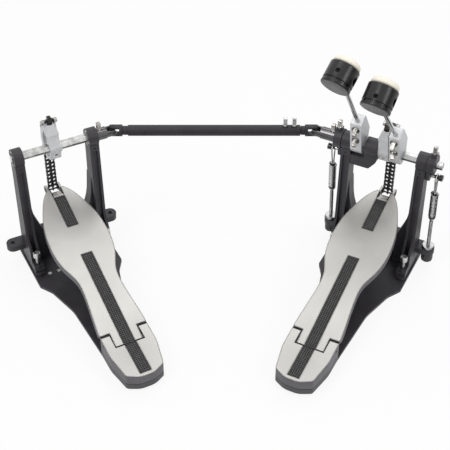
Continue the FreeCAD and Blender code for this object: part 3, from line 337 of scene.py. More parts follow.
def pedal_place(joint_name):
    """From a pedal's own millimetres to the frame: x along its axle, y to the toe, z up."""
    joint = next(j for j in frame["joints"] if j["name"] == joint_name)
    along = -Vector(joint["axis"]).normalized()
    up = Vector((0, 0, 1))
    turn = Matrix((along, up.cross(along), up)).transposed().to_4x4()
    foot = Vector(joint["pos_m"])
    foot.z = 0.0
    return Matrix.Translation(foot) @ turn @ Matrix.Scale(millimetre, 4)


main_place = pedal_place("main_axle_turn")
second_place = pedal_place("second_axle_turn")
pedals = (("main", main_place), ("second", second_place))
charcoal_colour = (0.040, 0.037, 0.043)
charcoal_finish = (charcoal_colour, 0.42, 0.3, 3.0)
charcoal = painted("charcoal_paint", *charcoal_finish)
wear(charcoal, "main_base_plate", "main_crossbar", "second_crossbar")
# Painted light round the trim holes of the second base plate, for the white floor seen through them.
trim_holes = ((-38.6, -36.0), (-26.0, -36.0))
trim_hole_height = 2.0
trim_hole_reach = 0.0031
hole_middles = [second_place @ Vector((x, y, trim_hole_height)) for x, y in trim_holes]
punched = painted("punched_charcoal", *charcoal_finish, painted_light_spots=hole_middles, painted_light_reach=trim_hole_reach)
wear(punched, "second_base_plate")


# Posts: charcoal castings with a groove down the front, bolted to the base plate. A small set
# screw in each front locks the bearing that is pressed into the boss.
wear(charcoal, "main_posts", "second_posts")
post_inner = 44.0
post_outer = 57.0
post_front = 9.5
set_screw_drop = 14.0
set_screw_radius = 1.3
set_screw_stand = 0.2
to_front = Matrix.Rotation(math.pi / 2, 4, "X")


def at(x, y, z):
    return Matrix.Translation((x, y, z))


def turned_shape(bm, outline, place, steps, ring=False):
    """Add a lathe-turned shape: (radius, height) corners spun round the place's z axis."""
    corners = [bm.verts.new(place @ Vector((r, 0, z))) for r, z in outline]
    pairs = list(zip(corners, corners[1:])) + ([(corners[-1], corners[0])] if ring else [])
    edges = [bm.edges.new(pair) for pair in pairs]
    axis = (place.to_3x3() @ Vector((0, 0, 1))).normalized()
    bmesh.ops.spin(bm, geom=corners + edges, cent=place.translation, axis=axis,
                   angle=2 * math.pi, steps=steps, use_merge=True)


def piece(name, bm, place, body, look, slot, *replaced, sharp=32):
    """Put a modelled piece in the frame: place, outward faces, smooth shading, finish and body."""
    bmesh.ops.transform(bm, matrix=place, verts=bm.verts)
    bmesh.ops.remove_doubles(bm, verts=bm.verts, dist=1e-7)
    bmesh.ops.recalc_face_normals(bm, faces=bm.faces)
    for face in bm.faces:
        face.smooth = True
    for edge in bm.edges:
        edge.smooth = edge.calc_face_angle(0.0) < math.radians(sharp)
    mesh = bpy.data.meshes.new(name)
    bm.to_mesh(mesh)
    bm.free()
    mesh.materials.append(look)
    made = bpy.data.objects.new(name, mesh)
    scene.collection.objects.link(made)
    if body:
        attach(made, body)
    if replaced:
        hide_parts(*replaced)
    return made


screw_steps = 18
screw_profile = ((0, 0.7), (0.45, 0.6), (0.5, 0), (0.85, 0), (1, 0.2), (1, 0.9), (0, 0.9))


def socket_screw(bm, place, radius, stand):
    """A screw end with a rounded rim and a sunk drive, facing along the place's z axis."""
    outline = [(radius * out, stand - radius * down) for out, down in screw_profile]
    turned_shape(bm, outline, place, screw_steps)


black_steel = painted("black_steel", (0.02, 0.02, 0.021), 0.36, 0.35, 5.0, 0.0004)
for pedal, place in pedals:
    bm = bmesh.new()
    for side in (-1, 1):
        spot = at(side * (post_inner + post_outer) / 2, -post_front, axle_height - set_screw_drop)
        socket_screw(bm, spot @ to_front, set_screw_radius, set_screw_stand)
    piece(pedal + "_set_screws", bm, place, pedal + "_frame", black_steel, "black_steel")


# Bearings: sealed ball bearings of ground steel pressed into the posts and the arm, each with a
# black shield between its two bright rings. Two bright screws keep each of the second pedal's.
def z_of(pen, vector):
    return pen.add("SeparateXYZ", None, {0: vector}, "Z")


plated_edge = 0.0004
shadow_black = (0, 0, 0, 1)


def bright_metal(name, colour, roughness, mottle, patch=70.0, dark=(), dark_reach=0.0, under=1.0,
                 ring_pitch=0.0, rings_below=0.0):
    """Plated metal: smudges, scratches, soft edges, black near spots, painted shade on faces turned down,
    painted shade in rings down a thread.
    """
    made, pen, place = material(name)
    cloud = grain(pen, place, patch, 3.0)
    scratch = grain(pen, place, 900.0)
    soft, edge = rounded(pen, plated_edge)
    body = clouded(cloud, colour, 1 - mottle, 1.0, 0.35, 0.65)
    body = (edge * 0.5).between(body, tone(colour, 1.25))
    if dark:
        body = near(pen, place, dark, dark_reach).between(body, tone(colour, 0.1))
    # Painted shade: faces turned down are darkened.
    if under < 1.0:
        upward = z_of(pen, pen.add("TexCoord", None, None, "Normal")).clipped(-0.05, 0.25)
        body = (under + (1 - under) * upward).between(shadow_black, body)
    # Painted shade: darker rings down a thread, for its grooves.
    if ring_pitch > 0.0:
        height = z_of(pen, place)
        ring = pen.sum("PINGPONG", height, ring_pitch / 2).clipped(0.0, ring_pitch / 2)
        thread_groove_shade = ring * pen.sum("LESS_THAN", height, rings_below)
        body = thread_groove_shade.between(body, tone(colour, 0.25))
    finish(pen, {"Base Color": body, "Metallic": 1.0, "Roughness": roughness - 0.05 + 0.1 * cloud,
                 "Normal": relief(pen, 0.1, 0.00006, scratch, soft)})
    return made


zinc_colour = (0.62, 0.62, 0.61)
zinc = bright_metal("zinc", zinc_colour, 0.28, 0.32, 160.0)
wear(zinc, "main_bearings", "second_bearings")
shield_inner = 6.2
shield_outer = 7.7
shield_stand = 0.15
shield_shoulder = 0.09
shield_lip = 0.3
shield_sink = 0.2
shield_steps = 40
shield_outline = [(shield_inner, -shield_sink), (shield_inner, shield_shoulder),
                  (shield_inner + shield_lip, shield_stand), (shield_outer - shield_lip, shield_stand),
                  (shield_outer, shield_shoulder), (shield_outer, -shield_sink)]
for pedal, place, sides in (("main", main_place, (1,)), ("second", second_place, (-1, 1))):
    bm = bmesh.new()
    for side in sides:
        face = at(side * post_inner, 0, axle_height) @ Matrix.Rotation(-side * math.pi / 2, 4, "Y")
        turned_shape(bm, shield_outline, face, shield_steps, True)
    piece(pedal + "_bearing_shields", bm, place, pedal + "_frame", black_steel, "black_steel")
keeper_offset = 10.2
keeper_radius = 1.7
keeper_stand = 0.5
bm = bmesh.new()
for x in (-post_outer, post_inner):
    for up in (-1, 1):
        spot = at(x, 0, axle_height + up * keeper_offset) @ Matrix.Rotation(-math.pi / 2, 4, "Y")
        socket_screw(bm, spot, keeper_radius, keeper_stand)
piece("second_keeper_screws", bm, second_place, "second_frame", zinc, "chrome")


# Heel plates and footboards: aluminium castings with satin silver tops and dark, rougher sides.
# A steel pin through two ears joins each pair, and black screws close the pin's ends.
def within(pen, value, middle, half):
    """1 where a value lies within a half width of a middle, else 0."""
    return pen.sum("LESS_THAN", pen.sum("ABSOLUTE", value - middle), half)


rim_radius = 0.0024
crease_height = 0.0125
crease_half = 0.0006


def cast_top(name, colour, wall_colour, painted_shade_spots):
    """Silver on top with painted shade near some spots, inside a dark rim line; walls darker below the
    crease, with a black line of painted shade along it.
    """
    made, pen, place = material(name)
    upward = z_of(pen, pen.add("TexCoord", None, None, "Normal")).clipped(0.62, 0.86)
    height = z_of(pen, place)
    cloud = grain(pen, place, 28.0, 4.0)
    flake = grain(pen, place, 2600.0)
    soft, edge = rounded(pen, rim_radius, 0.003, 0.045)
    silver = clouded(cloud, colour, 0.93, 1.03)
    silver = (flake.clipped(0.3, 0.75) * 0.35).between(silver, tone(colour, 1.2))
    # Painted shade: the silver darkens towards each spot.
    for spot, reach, dimmest in painted_shade_spots:
        clear = away_from(pen, place, spot).clipped(reach * 0.1, reach)
        silver = (dimmest + (1 - dimmest) * clear).between(shadow_black, silver)
    # The walls are darker below the crease, and a black line of painted shade runs along it.
    high_wall = height.clipped(crease_height, crease_height + crease_half)
    crease_shade = within(pen, height, crease_height, crease_half)
    wall = high_wall.between(tone(wall_colour, 0.6), clouded(cloud, wall_colour, 0.85, 1.15))
    wall = crease_shade.between(wall, tone(wall_colour, 0.1))
    inside = (1 - edge * 0.9) * upward
    finish(pen, {"Base Color": inside.between(wall, silver), "Metallic": 0.85 * upward,
                 "Roughness": 0.46 - 0.08 * upward + 0.1 * cloud,
                 "Normal": relief(pen, 0.1, 0.0001, flake, soft)})
    return made


hinge_back = 216.0
hinge_height = 27.0
board_slope = math.radians(14.8)
board_top = 4.5
heel_front = -206.4
heel_top = 33.8
heel_slope = math.radians(6.3)
hinge_line = at(0, -hinge_back, hinge_height)
on_board = hinge_line @ Matrix.Rotation(board_slope, 4, "X") @ at(0, 0, board_top)
on_heel = at(0, heel_front, heel_top) @ Matrix.Rotation(heel_slope, 4, "X")
# Painted shade on the silver tops: a dark painted reflection band near each toe, and painted shade on the
# heel plate.
toe_painted_reflection = Vector((0, 204.0, 0))
heel_painted_shade = Vector((0, -42.0, 0))
painted_shade_zones = ((on_board, toe_painted_reflection, 0.048, 0.58), (on_heel, heel_painted_shade, 0.07, 0.8))
painted_shade_spots = [(place @ top @ spot, reach, dimmest) for pedal, place in pedals
             for top, spot, reach, dimmest in painted_shade_zones]
board_silver = cast_top("board_silver", (0.50, 0.492, 0.470), (0.11, 0.105, 0.115), painted_shade_spots)
wear(board_silver, "main_footboard", "second_footboard", "main_heel_plate", "second_heel_plate")
wear(zinc, "main_hinge_pin", "second_hinge_pin")
heel_half = 31.5
heel_screw_radius = 2.6
heel_screw_sink = 0.3
heel_screw_stand = 0.25
for pedal, place in pedals:
    bm = bmesh.new()
    for side in (-1, 1):
        spot = at(side * (heel_half - heel_screw_sink), -hinge_back, hinge_height)
        outward = Matrix.Rotation(side * math.pi / 2, 4, "Y")
        socket_screw(bm, spot @ outward, heel_screw_radius, heel_screw_stand)
    piece(pedal + "_heel_screws", bm, place, pedal + "_frame", black_steel, "black_steel")


# Grip strips: black rubber moulded as a waffle of small pits, five abreast inside a plain rim,
# bonded into grooves down the middle of each footboard and heel plate. Their pit floors and rim
# are near-black painted shade. Black bars of painted shade line the hinge gap on the heel plate
# and the notch at the board's toe.
def rubber(name, colour):
    made, pen, place = material(name)
    dust = grain(pen, place, 220.0, 4.0)
    fine = grain(pen, place, 3200.0)
    finish(pen, {"Base Color": clouded(dust, colour, 0.8, 1.25, 0.35, 0.7),
                 "Roughness": 0.62 + 0.15 * dust, "Normal": relief(pen, 0.2, 0.0001, fine),
                 "Specular IOR Level": 0.3})
    return made


grip_black = rubber("grip_black", (0.100, 0.097, 0.097))
# Near-black rubber that serves as painted shade in pits, gaps and holes.
painted_shade_black = rubber("painted_shade_black", (0.008, 0.008, 0.008))
grip_half = 7.5
grip_thickness = 1.2
grip_columns = 5
grip_rim = 0.7
ridge_half = 0.44
pit_depth = 0.35
board_spans = ((-8.5, 135.0), (182.0, 233.5))
heel_span = (-70.05, -22.1)
# Sizes of the black bars of painted shade in the hinge gap and the toe notch.
shade_bar_rounding = 0.18
shade_bar_stand = 0.12
shade_bar_depth = 0.6
recess_half = 18.6
recess_end = -20.75
recess_shade_bar = 1.2
recess_out = recess_half + recess_shade_bar
tail_shade_bar = 2.2
ear_shade_bar = 2.6
ear_half = 30.9
ear_gap = 0.5
toe_shade_bar = (6.9, 8.0)
toe_shade_bar_span = (234.2, 247.4)
toe_shade_bar_depth = 2.4
mirrored = Matrix.Scale(-1, 4, (1, 0, 0))
both_sides = (unturned, mirrored)


def kept(name, bm):
    """The pattern mesh that a bmesh holds."""
    bmesh.ops.remove_doubles(bm, verts=bm.verts, dist=1e-4)
    mesh = bpy.data.meshes.new(name)
    bm.to_mesh(mesh)
    bm.free()
    return mesh


def stamp(bm, pattern, place):
    """Add a copy of a pattern mesh at a place."""
    before = len(bm.verts)
    bm.from_mesh(pattern)
    bm.verts.ensure_lookup_table()
    bmesh.ops.transform(bm, matrix=place, verts=bm.verts[before:])


def only(kind, geom):
    """The vertices, edges or faces among the parts of a mesh."""
    return [part for part in geom if isinstance(part, kind)]


def waffle_strip(bm, start, end, place):
    """Add a strip with pits on top, from start to end along the place's y axis, its top at z 0."""
    half_x, half_y = grip_half - grip_rim, (end - start) / 2 - grip_rim
    rows = round(half_y / half_x * grip_columns)
    strip = bmesh.new()
    bmesh.ops.create_grid(strip, x_segments=grip_columns, y_segments=rows, size=1.0)
    bmesh.ops.scale(strip, verts=strip.verts, vec=(half_x, half_y, 1))
    cells = strip.faces[:]
    outward = (1 + grip_rim / half_x, 1 + grip_rim / half_y, 1)
    for share, down in ((outward, 0.0), ((1, 1, 1), -grip_thickness)):
        rim = [edge for edge in strip.edges if edge.is_boundary]
        skirt = bmesh.ops.extrude_edge_only(strip, edges=rim)["geom"]
        rim_verts = only(bmesh.types.BMVert, skirt)
        bmesh.ops.scale(strip, verts=rim_verts, vec=share)
        bmesh.ops.translate(strip, verts=rim_verts, vec=(0, 0, down))
    bmesh.ops.contextual_create(strip, geom=[edge for edge in strip.edges if edge.is_boundary])
    bmesh.ops.recalc_face_normals(strip, faces=strip.faces)
    # All but the ridges take the second finish, the near-black painted shade.
    for face in strip.faces:
        face.material_index = 1
    ridges = bmesh.ops.inset_individual(strip, faces=cells, thickness=ridge_half, depth=-pit_depth,
                                        use_even_offset=True)
    for face in ridges["faces"]:
        face.material_index = 0
    pattern = kept("strip", strip)
    stamp(bm, pattern, place @ at(0, (start + end) / 2, 0))
    bpy.data.meshes.remove(pattern)


def shade_bar(bm, low, high, place):
    """Add a rounded black bar of painted shade between two corners of a box."""
    low, high = Vector(low), Vector(high)
    box = place @ Matrix.Translation((low + high) / 2) @ Matrix.Diagonal((*(high - low), 1))
    corners = bmesh.ops.create_cube(bm, size=1.0, matrix=box)["verts"]
    edges = list({edge for corner in corners for edge in corner.link_edges})
    bmesh.ops.bevel(bm, geom=edges, offset=shade_bar_rounding, segments=2, profile=0.5,
                    affect="EDGES", material=-1)


for pedal, place in pedals:
    bm = bmesh.new()
    for start, end in board_spans:
        waffle_strip(bm, start, end, on_board)
    made = piece(pedal + "_board_strips", bm, place, pedal + "_footboard", grip_black, "grip_black",
                 pedal + "_board_grips")
    made.data.materials.append(painted_shade_black)
    bm = bmesh.new()
    waffle_strip(bm, *heel_span, on_heel)
    made = piece(pedal + "_heel_strip", bm, place, pedal + "_frame", grip_black, "grip_black",
                 pedal + "_heel_grip")
    made.data.materials.append(painted_shade_black)
    # Bars of painted shade fill the hinge gap on the heel plate.
    bm = bmesh.new()
    shade_bar(bm, (-recess_out, recess_end - tail_shade_bar, -shade_bar_depth), (recess_out, recess_end, shade_bar_stand),
         on_heel)
    for flip in both_sides:
        shade_bar(bm, (recess_half, recess_end, -shade_bar_depth), (recess_out, -ear_shade_bar, shade_bar_stand),
             on_heel @ flip)
        shade_bar(bm, (recess_half, -ear_shade_bar, -shade_bar_depth), (ear_half, ear_gap, shade_bar_stand),
             on_heel @ flip)
    piece(pedal + "_hinge_shade_bars", bm, place, pedal + "_frame", painted_shade_black, "grip_black")
    # Bars of painted shade line the notch at the board's toe.
    bm = bmesh.new()
    for flip in both_sides:
        shade_bar(bm, (toe_shade_bar[0], toe_shade_bar_span[0], -toe_shade_bar_depth),
             (toe_shade_bar[1], toe_shade_bar_span[1], shade_bar_stand), on_board @ flip)
    piece(pedal + "_toe_shade_bars", bm, place, pedal + "_footboard", painted_shade_black, "grip_black")


# Axles: hexagon steel bars with round journals at the bearings. The second pedal's is zinc
# plated and mottled; those of the main pedal are ground bright, with painted shade on their
# faces turned down.
polished = bright_metal("polished_steel", (0.5, 0.5, 0.5), 0.2, 0.2, under=0.2)
wear(zinc, "second_axle")
wear(polished, "main_axle", "second_beater_axle")


# Cams: silver-grey castings that clamp on the axles and carry the chain on their curved rims,
# each with a square key bolt on top and a pin for the chain's end.
def ahead_of(pen, place, start, way):
    """How far the surface lies from a start along a way."""
    offset = pen.add("VectorMath", {"operation": "SUBTRACT"}, {0: place, 1: start})
    return pen.add("VectorMath", {"operation": "DOT_PRODUCT"}, {0: offset, 1: way}, "Value")


seam_x = 9.15
seam_half = 0.00042
cast_edge = 0.0007


def casting(name, colour, seam, seam_way):
    """Cast metal with pits and soft lighter edges, and a black line of painted shade in the gap where cam
    and hub meet.
    """
    made, pen, place = material(name)
    seam_shade = within(pen, ahead_of(pen, place, seam, seam_way), 0.0, seam_half)
    cloud = grain(pen, place, 60.0, 4.0)
    pits = grain(pen, place, 1100.0, 3.0)
    soft, edge = rounded(pen, cast_edge)
    body = (edge * 0.4).between(clouded(cloud, colour, 0.88, 1.05), tone(colour, 1.35))
    # Painted shade: black in the gap between cam and hub.
    body = seam_shade.between(body, tone(colour, 0.03))
    finish(pen, {"Base Color": body, "Metallic": 0.45, "Roughness": 0.4 + 0.14 * cloud,
                 "Normal": relief(pen, 0.16, 0.00012, pits, soft)})
    return made


on_axle = at(0, 0, axle_height)
cast_silver = casting("cast_silver", (0.64, 0.645, 0.66), main_place @ on_axle @ Vector((seam_x, 0, 0)),
                      (main_place.to_3x3() @ Vector((1, 0, 0))).normalized())
wear(cast_silver, "main_cam", "second_cam")
cam_bolt_tip = Vector((-1.1, 2.2, 38.5))
cam_tilts = ((main_place, math.radians(7.0)), (second_place, math.radians(-6.6)))
black_bolt_reach = 0.0085
pivot_head = Vector((76.2, 1.7, 160.6))
black_bolts = [main_place @ flip @ pivot_head for flip in both_sides]
black_bolts += [place @ on_axle @ Matrix.Rotation(tilt, 4, "X") @ cam_bolt_tip for place, tilt in cam_tilts]
key_steel = bright_metal("key_bolt_chrome", (0.46, 0.445, 0.425), 0.2, 0.45, 220.0,
                         dark=black_bolts, dark_reach=black_bolt_reach)
wear(key_steel, "main_key_bolts", "second_key_bolts", "second_beater_bolts")


# Chains: two-strand roller chains of black steel. Figure-eight plates are riveted over pins, and
# rollers turn on bushes between them. Four links lie on each cam and the rest run to the toe.
chain_steel = painted("chain_steel", (0.014, 0.014, 0.015), 0.32, 0.4, 8.0, 0.0003)
chain_pitch = 6.35
chain_radius = 34.0
chain_strand = 6.2
chain_inner_width = 3.1
chain_half = 6.35
chain_gap = 0.1
plate_thickness = 0.8
plate_radius = 2.8
plate_turn = math.radians(260)
plate_steps = 9
pin_radius = 1.15
roller_radius = 1.65
bar_steps = 14
rivet_stand = 0.25
rivet_half = chain_half + rivet_stand
wrap_links = 4
span_links = 17
span_length = span_links * chain_pitch
top_pin_angle = math.radians(25)
link_angle = 2 * math.asin(chain_pitch / 2 / chain_radius)
toe_pin_half = 10.9

bm = bmesh.new()
first_angle = math.pi / 2 - plate_turn / 2
start = bm.verts.new((0, plate_radius * math.cos(first_angle), plate_radius * math.sin(first_angle)))
bmesh.ops.spin(bm, geom=[start], cent=(0, 0, 0), axis=(1, 0, 0), angle=plate_turn, steps=plate_steps)
other = bmesh.ops.duplicate(bm, geom=bm.verts[:] + bm.edges[:])["geom"]
bmesh.ops.rotate(bm, verts=only(bmesh.types.BMVert, other), cent=(0, 0, -chain_pitch / 2),
                 matrix=Matrix.Rotation(math.pi, 3, "X"))
bm.verts.ensure_lookup_table()
outline = bm.faces.new(bm.verts)
wall = bmesh.ops.extrude_face_region(bm, geom=[outline])["geom"]
bmesh.ops.translate(bm, verts=only(bmesh.types.BMVert, wall), vec=(1, 0, 0))
link_plate = kept("link_plate", bm)

along_x = Matrix.Rotation(math.pi / 2, 4, "Y")
bar_outline = [(0, -0.5), (0.92, -0.5), (1, -0.46), (1, 0.46), (0.92, 0.5), (0, 0.5)]
bm = bmesh.new()
turned_shape(bm, bar_outline, along_x, bar_steps)
round_bar = kept("round_bar", bm)


def cross_bar(bm, radius, x0, x1, place):
    size = Matrix.Diagonal((x1 - x0, radius, radius, 1))
    stamp(bm, round_bar, place @ at((x0 + x1) / 2, 0, 0) @ size)


def chain_link(bm, outer, place):
    """Add one link that hangs down from its first pin: plates, the pin and its rollers."""
    strand = chain_inner_width / 2
    spans = []
    if outer:
        inside = chain_strand / 2 - strand - plate_thickness - chain_gap
        spans = [(-chain_half, plate_thickness), (-inside, 2 * inside),
                 (chain_half - plate_thickness, plate_thickness)]
    for middle_x in (-chain_strand / 2, chain_strand / 2):
        cross_bar(bm, roller_radius, middle_x - strand, middle_x + strand, place)
        if not outer:
            spans += [(middle_x - strand - plate_thickness, plate_thickness),
                      (middle_x + strand, plate_thickness)]
    for x0, width in spans:
        stamp(bm, link_plate, place @ at(x0, 0, 0) @ Matrix.Diagonal((width, 1, 1, 1)))
    cross_bar(bm, pin_radius, -rivet_half, rivet_half, place)


def on_rim(angle):
    """The place on the cam's pitch circle at an angle up from the toe's side."""
    return on_axle @ at(0, chain_radius * math.cos(angle), chain_radius * math.sin(angle))


for pedal, place in pedals:
    bm = bmesh.new()
    for k in range(wrap_links):
        angle = top_pin_angle + (wrap_links - k) * link_angle
        turn = Matrix.Rotation(angle - link_angle / 2, 4, "X")
        chain_link(bm, k % 2 == 0, on_rim(angle) @ turn)
    piece(pedal + "_wrapped_links", bm, place, pedal + "_axle", chain_steel, "black_steel",
          pedal + "_chain_wrap")
    top_pin = on_rim(top_pin_angle)
    lean = math.asin((chain_radius - top_pin.translation.y) / span_length)
    run = top_pin @ Matrix.Rotation(lean, 4, "X")
    bm = bmesh.new()
    for k in range(span_links):
        chain_link(bm, k % 2 == 0, run @ at(0, 0, -k * chain_pitch))
    cross_bar(bm, pin_radius, -toe_pin_half, toe_pin_half, run @ at(0, 0, -span_length))
    piece(pedal + "_free_links", bm, place, pedal + "_chain", chain_steel, "black_steel",
          pedal + "_chain_span")
for pattern in (link_plate, round_bar):
    bpy.data.meshes.remove(pattern)


# Bearing arm, rockers and beater hubs: the arm and rockers are charcoal castings, and the hubs
# are silver-grey blocks that clamp on the axles and hold the beaters' rods with two key bolts.
wear(charcoal, "bearing_arm", "right_rocker", "left_rocker")
wear(cast_silver, "main_beater_hub", "second_beater_hub")


# Beaters: chromed rods with moulded black heads. Each head has a groove near its back, a
# near-black plug of painted shade for the hole over the rod's end, a grey disc on the back and a
# thick cream felt pad on the striking face. The groove is near-black painted shade, and the
# heads' edges carry a painted highlight.
chrome = bright_metal("chrome", (0.58, 0.58, 0.585), 0.12, 0.15)
wear(chrome, "main_beater_rod", "second_beater_rod")
disc_grey = painted("disc_grey", (0.13, 0.13, 0.135), 0.45, 0.3, 1.4)
rod_offset = 12.4
head_height = 180.0
head_back = 14.8
head_front = 12.6
head_colour = (0.016, 0.0145, 0.015)
head_edge = 0.0009
groove_shade_black = (0.003, 0.003, 0.003, 1)
groove_middle = 0.005
groove_half = 0.00155
hub_half = 7.5
hole_shade_radius = 2.75
hole_shade_top = 16.6
disc_radius = 17.0
disc_stand = 0.4
disc_sink = 0.5
disc_outline = [(0, disc_stand), (disc_radius - 0.5, disc_stand), (disc_radius, disc_stand - 0.25),
                (disc_radius, -disc_sink), (0, -disc_sink)]
disc_steps = 64
felt_radius = 17.2
felt_height = 8.6
felt_rounding = 5.6
felt_rings = 6
felt_steps = 72
felt_glued = 0.1
felt_lump = 0.35
felt_sunk = 0.5
broad_lump = 0.22
small_lump = 0.8
small_lump_share = 0.6
to_toe = Matrix.Rotation(-math.pi / 2, 4, "X")


def wool(name):
    made, pen, place = material(name)
    tuft = grain(pen, place, 420.0, 5.0)
    fibre = pen.add("TexNoise", None, {"Vector": place, "Scale": 2400.0, "Detail": 3.0, "Distortion": 1.5})
    soil = grain(pen, place, 55.0, 3.0)
    body = tuft.clipped(0.3, 0.7).between((0.90, 0.83, 0.70, 1), (0.97, 0.93, 0.83, 1))
    body = (soil.clipped(0.55, 0.8) * 0.2).between(body, (0.66, 0.56, 0.42, 1))
    finish(pen, {"Base Color": body, "Roughness": 0.95, "Specular IOR Level": 0.1,
                 "Normal": relief(pen, 0.22, 0.0005, 0.6 * fibre + 0.8 * tuft),
                 "Sheen Weight": 0.35, "Sheen Roughness": 0.6, "Sheen Tint": (1.0, 0.95, 0.86, 1)})
    return made


def moulded(name, back, ahead):
    """Satin plastic of a head with painted highlights on its edges, black as painted shade in the groove
    that runs round it near its back.
    """
    made, pen, place = material(name)
    # The groove is near-black: painted shade.
    groove = within(pen, ahead_of(pen, place, back, ahead), groove_middle, groove_half)
    cloud = grain(pen, place, 45.0, 3.0)
    speck = grain(pen, place, 1900.0)
    soft, edge = rounded(pen, head_edge)
    # The edges are much lighter: a painted highlight.
    body = (edge * 0.5).between(clouded(cloud, head_colour, 0.85, 1.15), tone(head_colour, 2.6))
    finish(pen, {"Base Color": groove.between(body, groove_shade_black), "Roughness": 0.25 + 0.06 * cloud,
                 "Normal": relief(pen, 0.12, 0.00015, speck, soft), "Specular IOR Level": 0.35})
    return made


felt_cream = wool("felt_cream")
for beater, hub_from, lean, head_turn, head_shift in (("main", 8.6, 40.3, -3.5, 4.0),
                                                      ("second", -43.4, 35.0, -7.0, 0.0)):
    tilted = on_axle @ Matrix.Rotation(math.radians(lean), 4, "X")
    rod_top = tilted @ at(hub_from + hub_half, rod_offset, head_height)
    head = rod_top @ Matrix.Rotation(math.radians(head_turn), 4, "Z")
    back_face = head @ at(0, head_shift - head_back, 0)
    front_face = head @ at(0, head_shift + head_front, 0)
    ahead = ((main_place @ head).to_3x3() @ Vector((0, 1, 0))).normalized()
    plastic = moulded(beater + "_head_plastic", (main_place @ back_face).translation, ahead)
    wear(plastic, beater + "_beater_head")
    bm = bmesh.new()
    # A near-black disc that is painted shade for the hole over the rod's end.
    socket_screw(bm, head, hole_shade_radius, hole_shade_top)
    piece(beater + "_head_hole_shade", bm, main_place, beater + "_beater", painted_shade_black, "grip_black")
    bm = bmesh.new()
    turned_shape(bm, disc_outline, back_face @ to_front, disc_steps)
    piece(beater + "_head_disc", bm, main_place, beater + "_beater", disc_grey, "beater_grey")
    corner = [(felt_radius - felt_rounding * (1 - math.cos(turn)),
               felt_height - felt_rounding * (1 - math.sin(turn)))
              for turn in [math.pi / 2 * k / felt_rings for k in range(felt_rings + 1)]]
    face = [(corner[-1][0] * k / felt_rings, felt_height) for k in range(felt_rings - 1, -1, -1)]
    bm = bmesh.new()
    turned_shape(bm, [(0, 0), (felt_radius, 0)] + corner + face, unturned, felt_steps)
    bmesh.ops.remove_doubles(bm, verts=bm.verts, dist=1e-4)
    bmesh.ops.recalc_face_normals(bm, faces=bm.faces)
    bm.normal_update()
    small_shift = Vector((7, 3, lean))
    for vert in bm.verts:
        if vert.co.z > felt_glued:
            lump = noise.noise(vert.co * broad_lump)
            lump += small_lump_share * noise.noise(vert.co * small_lump + small_shift)
            vert.co += vert.normal * felt_lump * (lump - felt_sunk)
    pad = piece(beater + "_felt_pad", bm, main_place @ front_face @ to_toe, beater + "_beater",
                felt_cream, "felt", beater + "_beater_felt", sharp=70)
    fluff = pad.modifiers.new("fluff", "SUBSURF")
    fluff.levels = fluff.render_levels = 1


# Springs: close-wound chromed coils outside both posts of the main pedal, each drawn down by a
# threaded rod and a fluted knob under the lug, and hooked to the rocker's pivot by a wire loop.
spring_chrome = bright_metal("spring_chrome", (0.5, 0.5, 0.505), 0.26, 0.15)
satin_steel = bright_metal("satin_steel", (0.40, 0.40, 0.40), 0.36, 0.25, 160.0)
wear(satin_steel, "spring_adjusters")
# The knob's edges are made much lighter: a painted highlight on its flutes.
knob_black = painted("knob_black", (0.014, 0.014, 0.015), 0.34, 0.5, 16.0, 0.0012)
wear(knob_black, "right_spring_knob", "left_spring_knob")
lug_x = 70.9
lug_y = 13.0
lug_top = 33.0
spring_tilt = math.radians(5.445)
spring_radius = 4.6
spring_turns = 22
spring_low = 60.0
spring_high = 98.35
spring_pitch = (spring_high - spring_low) / spring_turns
turn_gap = 0.02
spring_wire = (spring_pitch - turn_gap) / 2
wire_flat = 0.5
wire_sides = 12
turn_steps = 24
loop_steps = 14
hook_wire = 1.15
hook_sides = 10
hook_steps = 16
hook_eye = 126.6
hook_eye_inner = 4.75
hook_eye_radius = hook_eye_inner + hook_wire
hook_foot = spring_high + 4.1
hook_foot_radius = 2.5
thread_pitch = 0.9
thread_depth = 0.28
thread_half = 0.32
thread_root = 0.1
thread_steps = 16
thread_to = 49.0
adjuster_radius = 2.3
lock_nut_height = 4.2
lock_nut_gap = 0.5
hook_taper = math.asin((hook_eye_radius - hook_foot_radius) / (hook_eye - hook_foot))
hook_bends = ((hook_eye, hook_eye_radius, -hook_taper, math.pi + 2 * hook_taper),
              (hook_foot, hook_foot_radius, math.pi + hook_taper, math.pi - 2 * hook_taper))


def ring_of(bm, radius, segments, place):
    """Add a circle of edges round the place's z axis, and give its parts."""
    made = bmesh.ops.create_circle(bm, segments=segments, radius=radius, matrix=place)["verts"]
    return made + list({edge for vert in made for edge in vert.link_edges})


def swept(bm, section, **course):
    """Spin a closed section along its course, and give the edges and vertices of its end."""
    last = bmesh.ops.spin(bm, geom=section, **course)["geom_last"]
    return only((bmesh.types.BMVert, bmesh.types.BMEdge), last)


def swept_wire(bm, section, **course):
    """Sweep a section with both of its ends closed."""
    bmesh.ops.contextual_create(bm, geom=section)
    bmesh.ops.contextual_create(bm, geom=swept(bm, section, **course))


def screw_thread(bm, radius, low, high):
    """Add a raised helix on a rod along the z axis."""
    turns = int((high - low) / thread_pitch)
    profile = ((radius - thread_root, -thread_half), (radius + thread_depth, 0),
               (radius - thread_root, thread_half))
    corners = [bm.verts.new((r, 0, low + z)) for r, z in profile]
    edges = [bm.edges.new(pair) for pair in zip(corners, corners[1:] + corners[:1])]
    swept_wire(bm, corners + edges, cent=(0, 0, 0), axis=(0, 0, 1), angle=2 * math.pi * turns,
               dvec=(0, 0, thread_pitch / thread_steps), steps=thread_steps * turns)


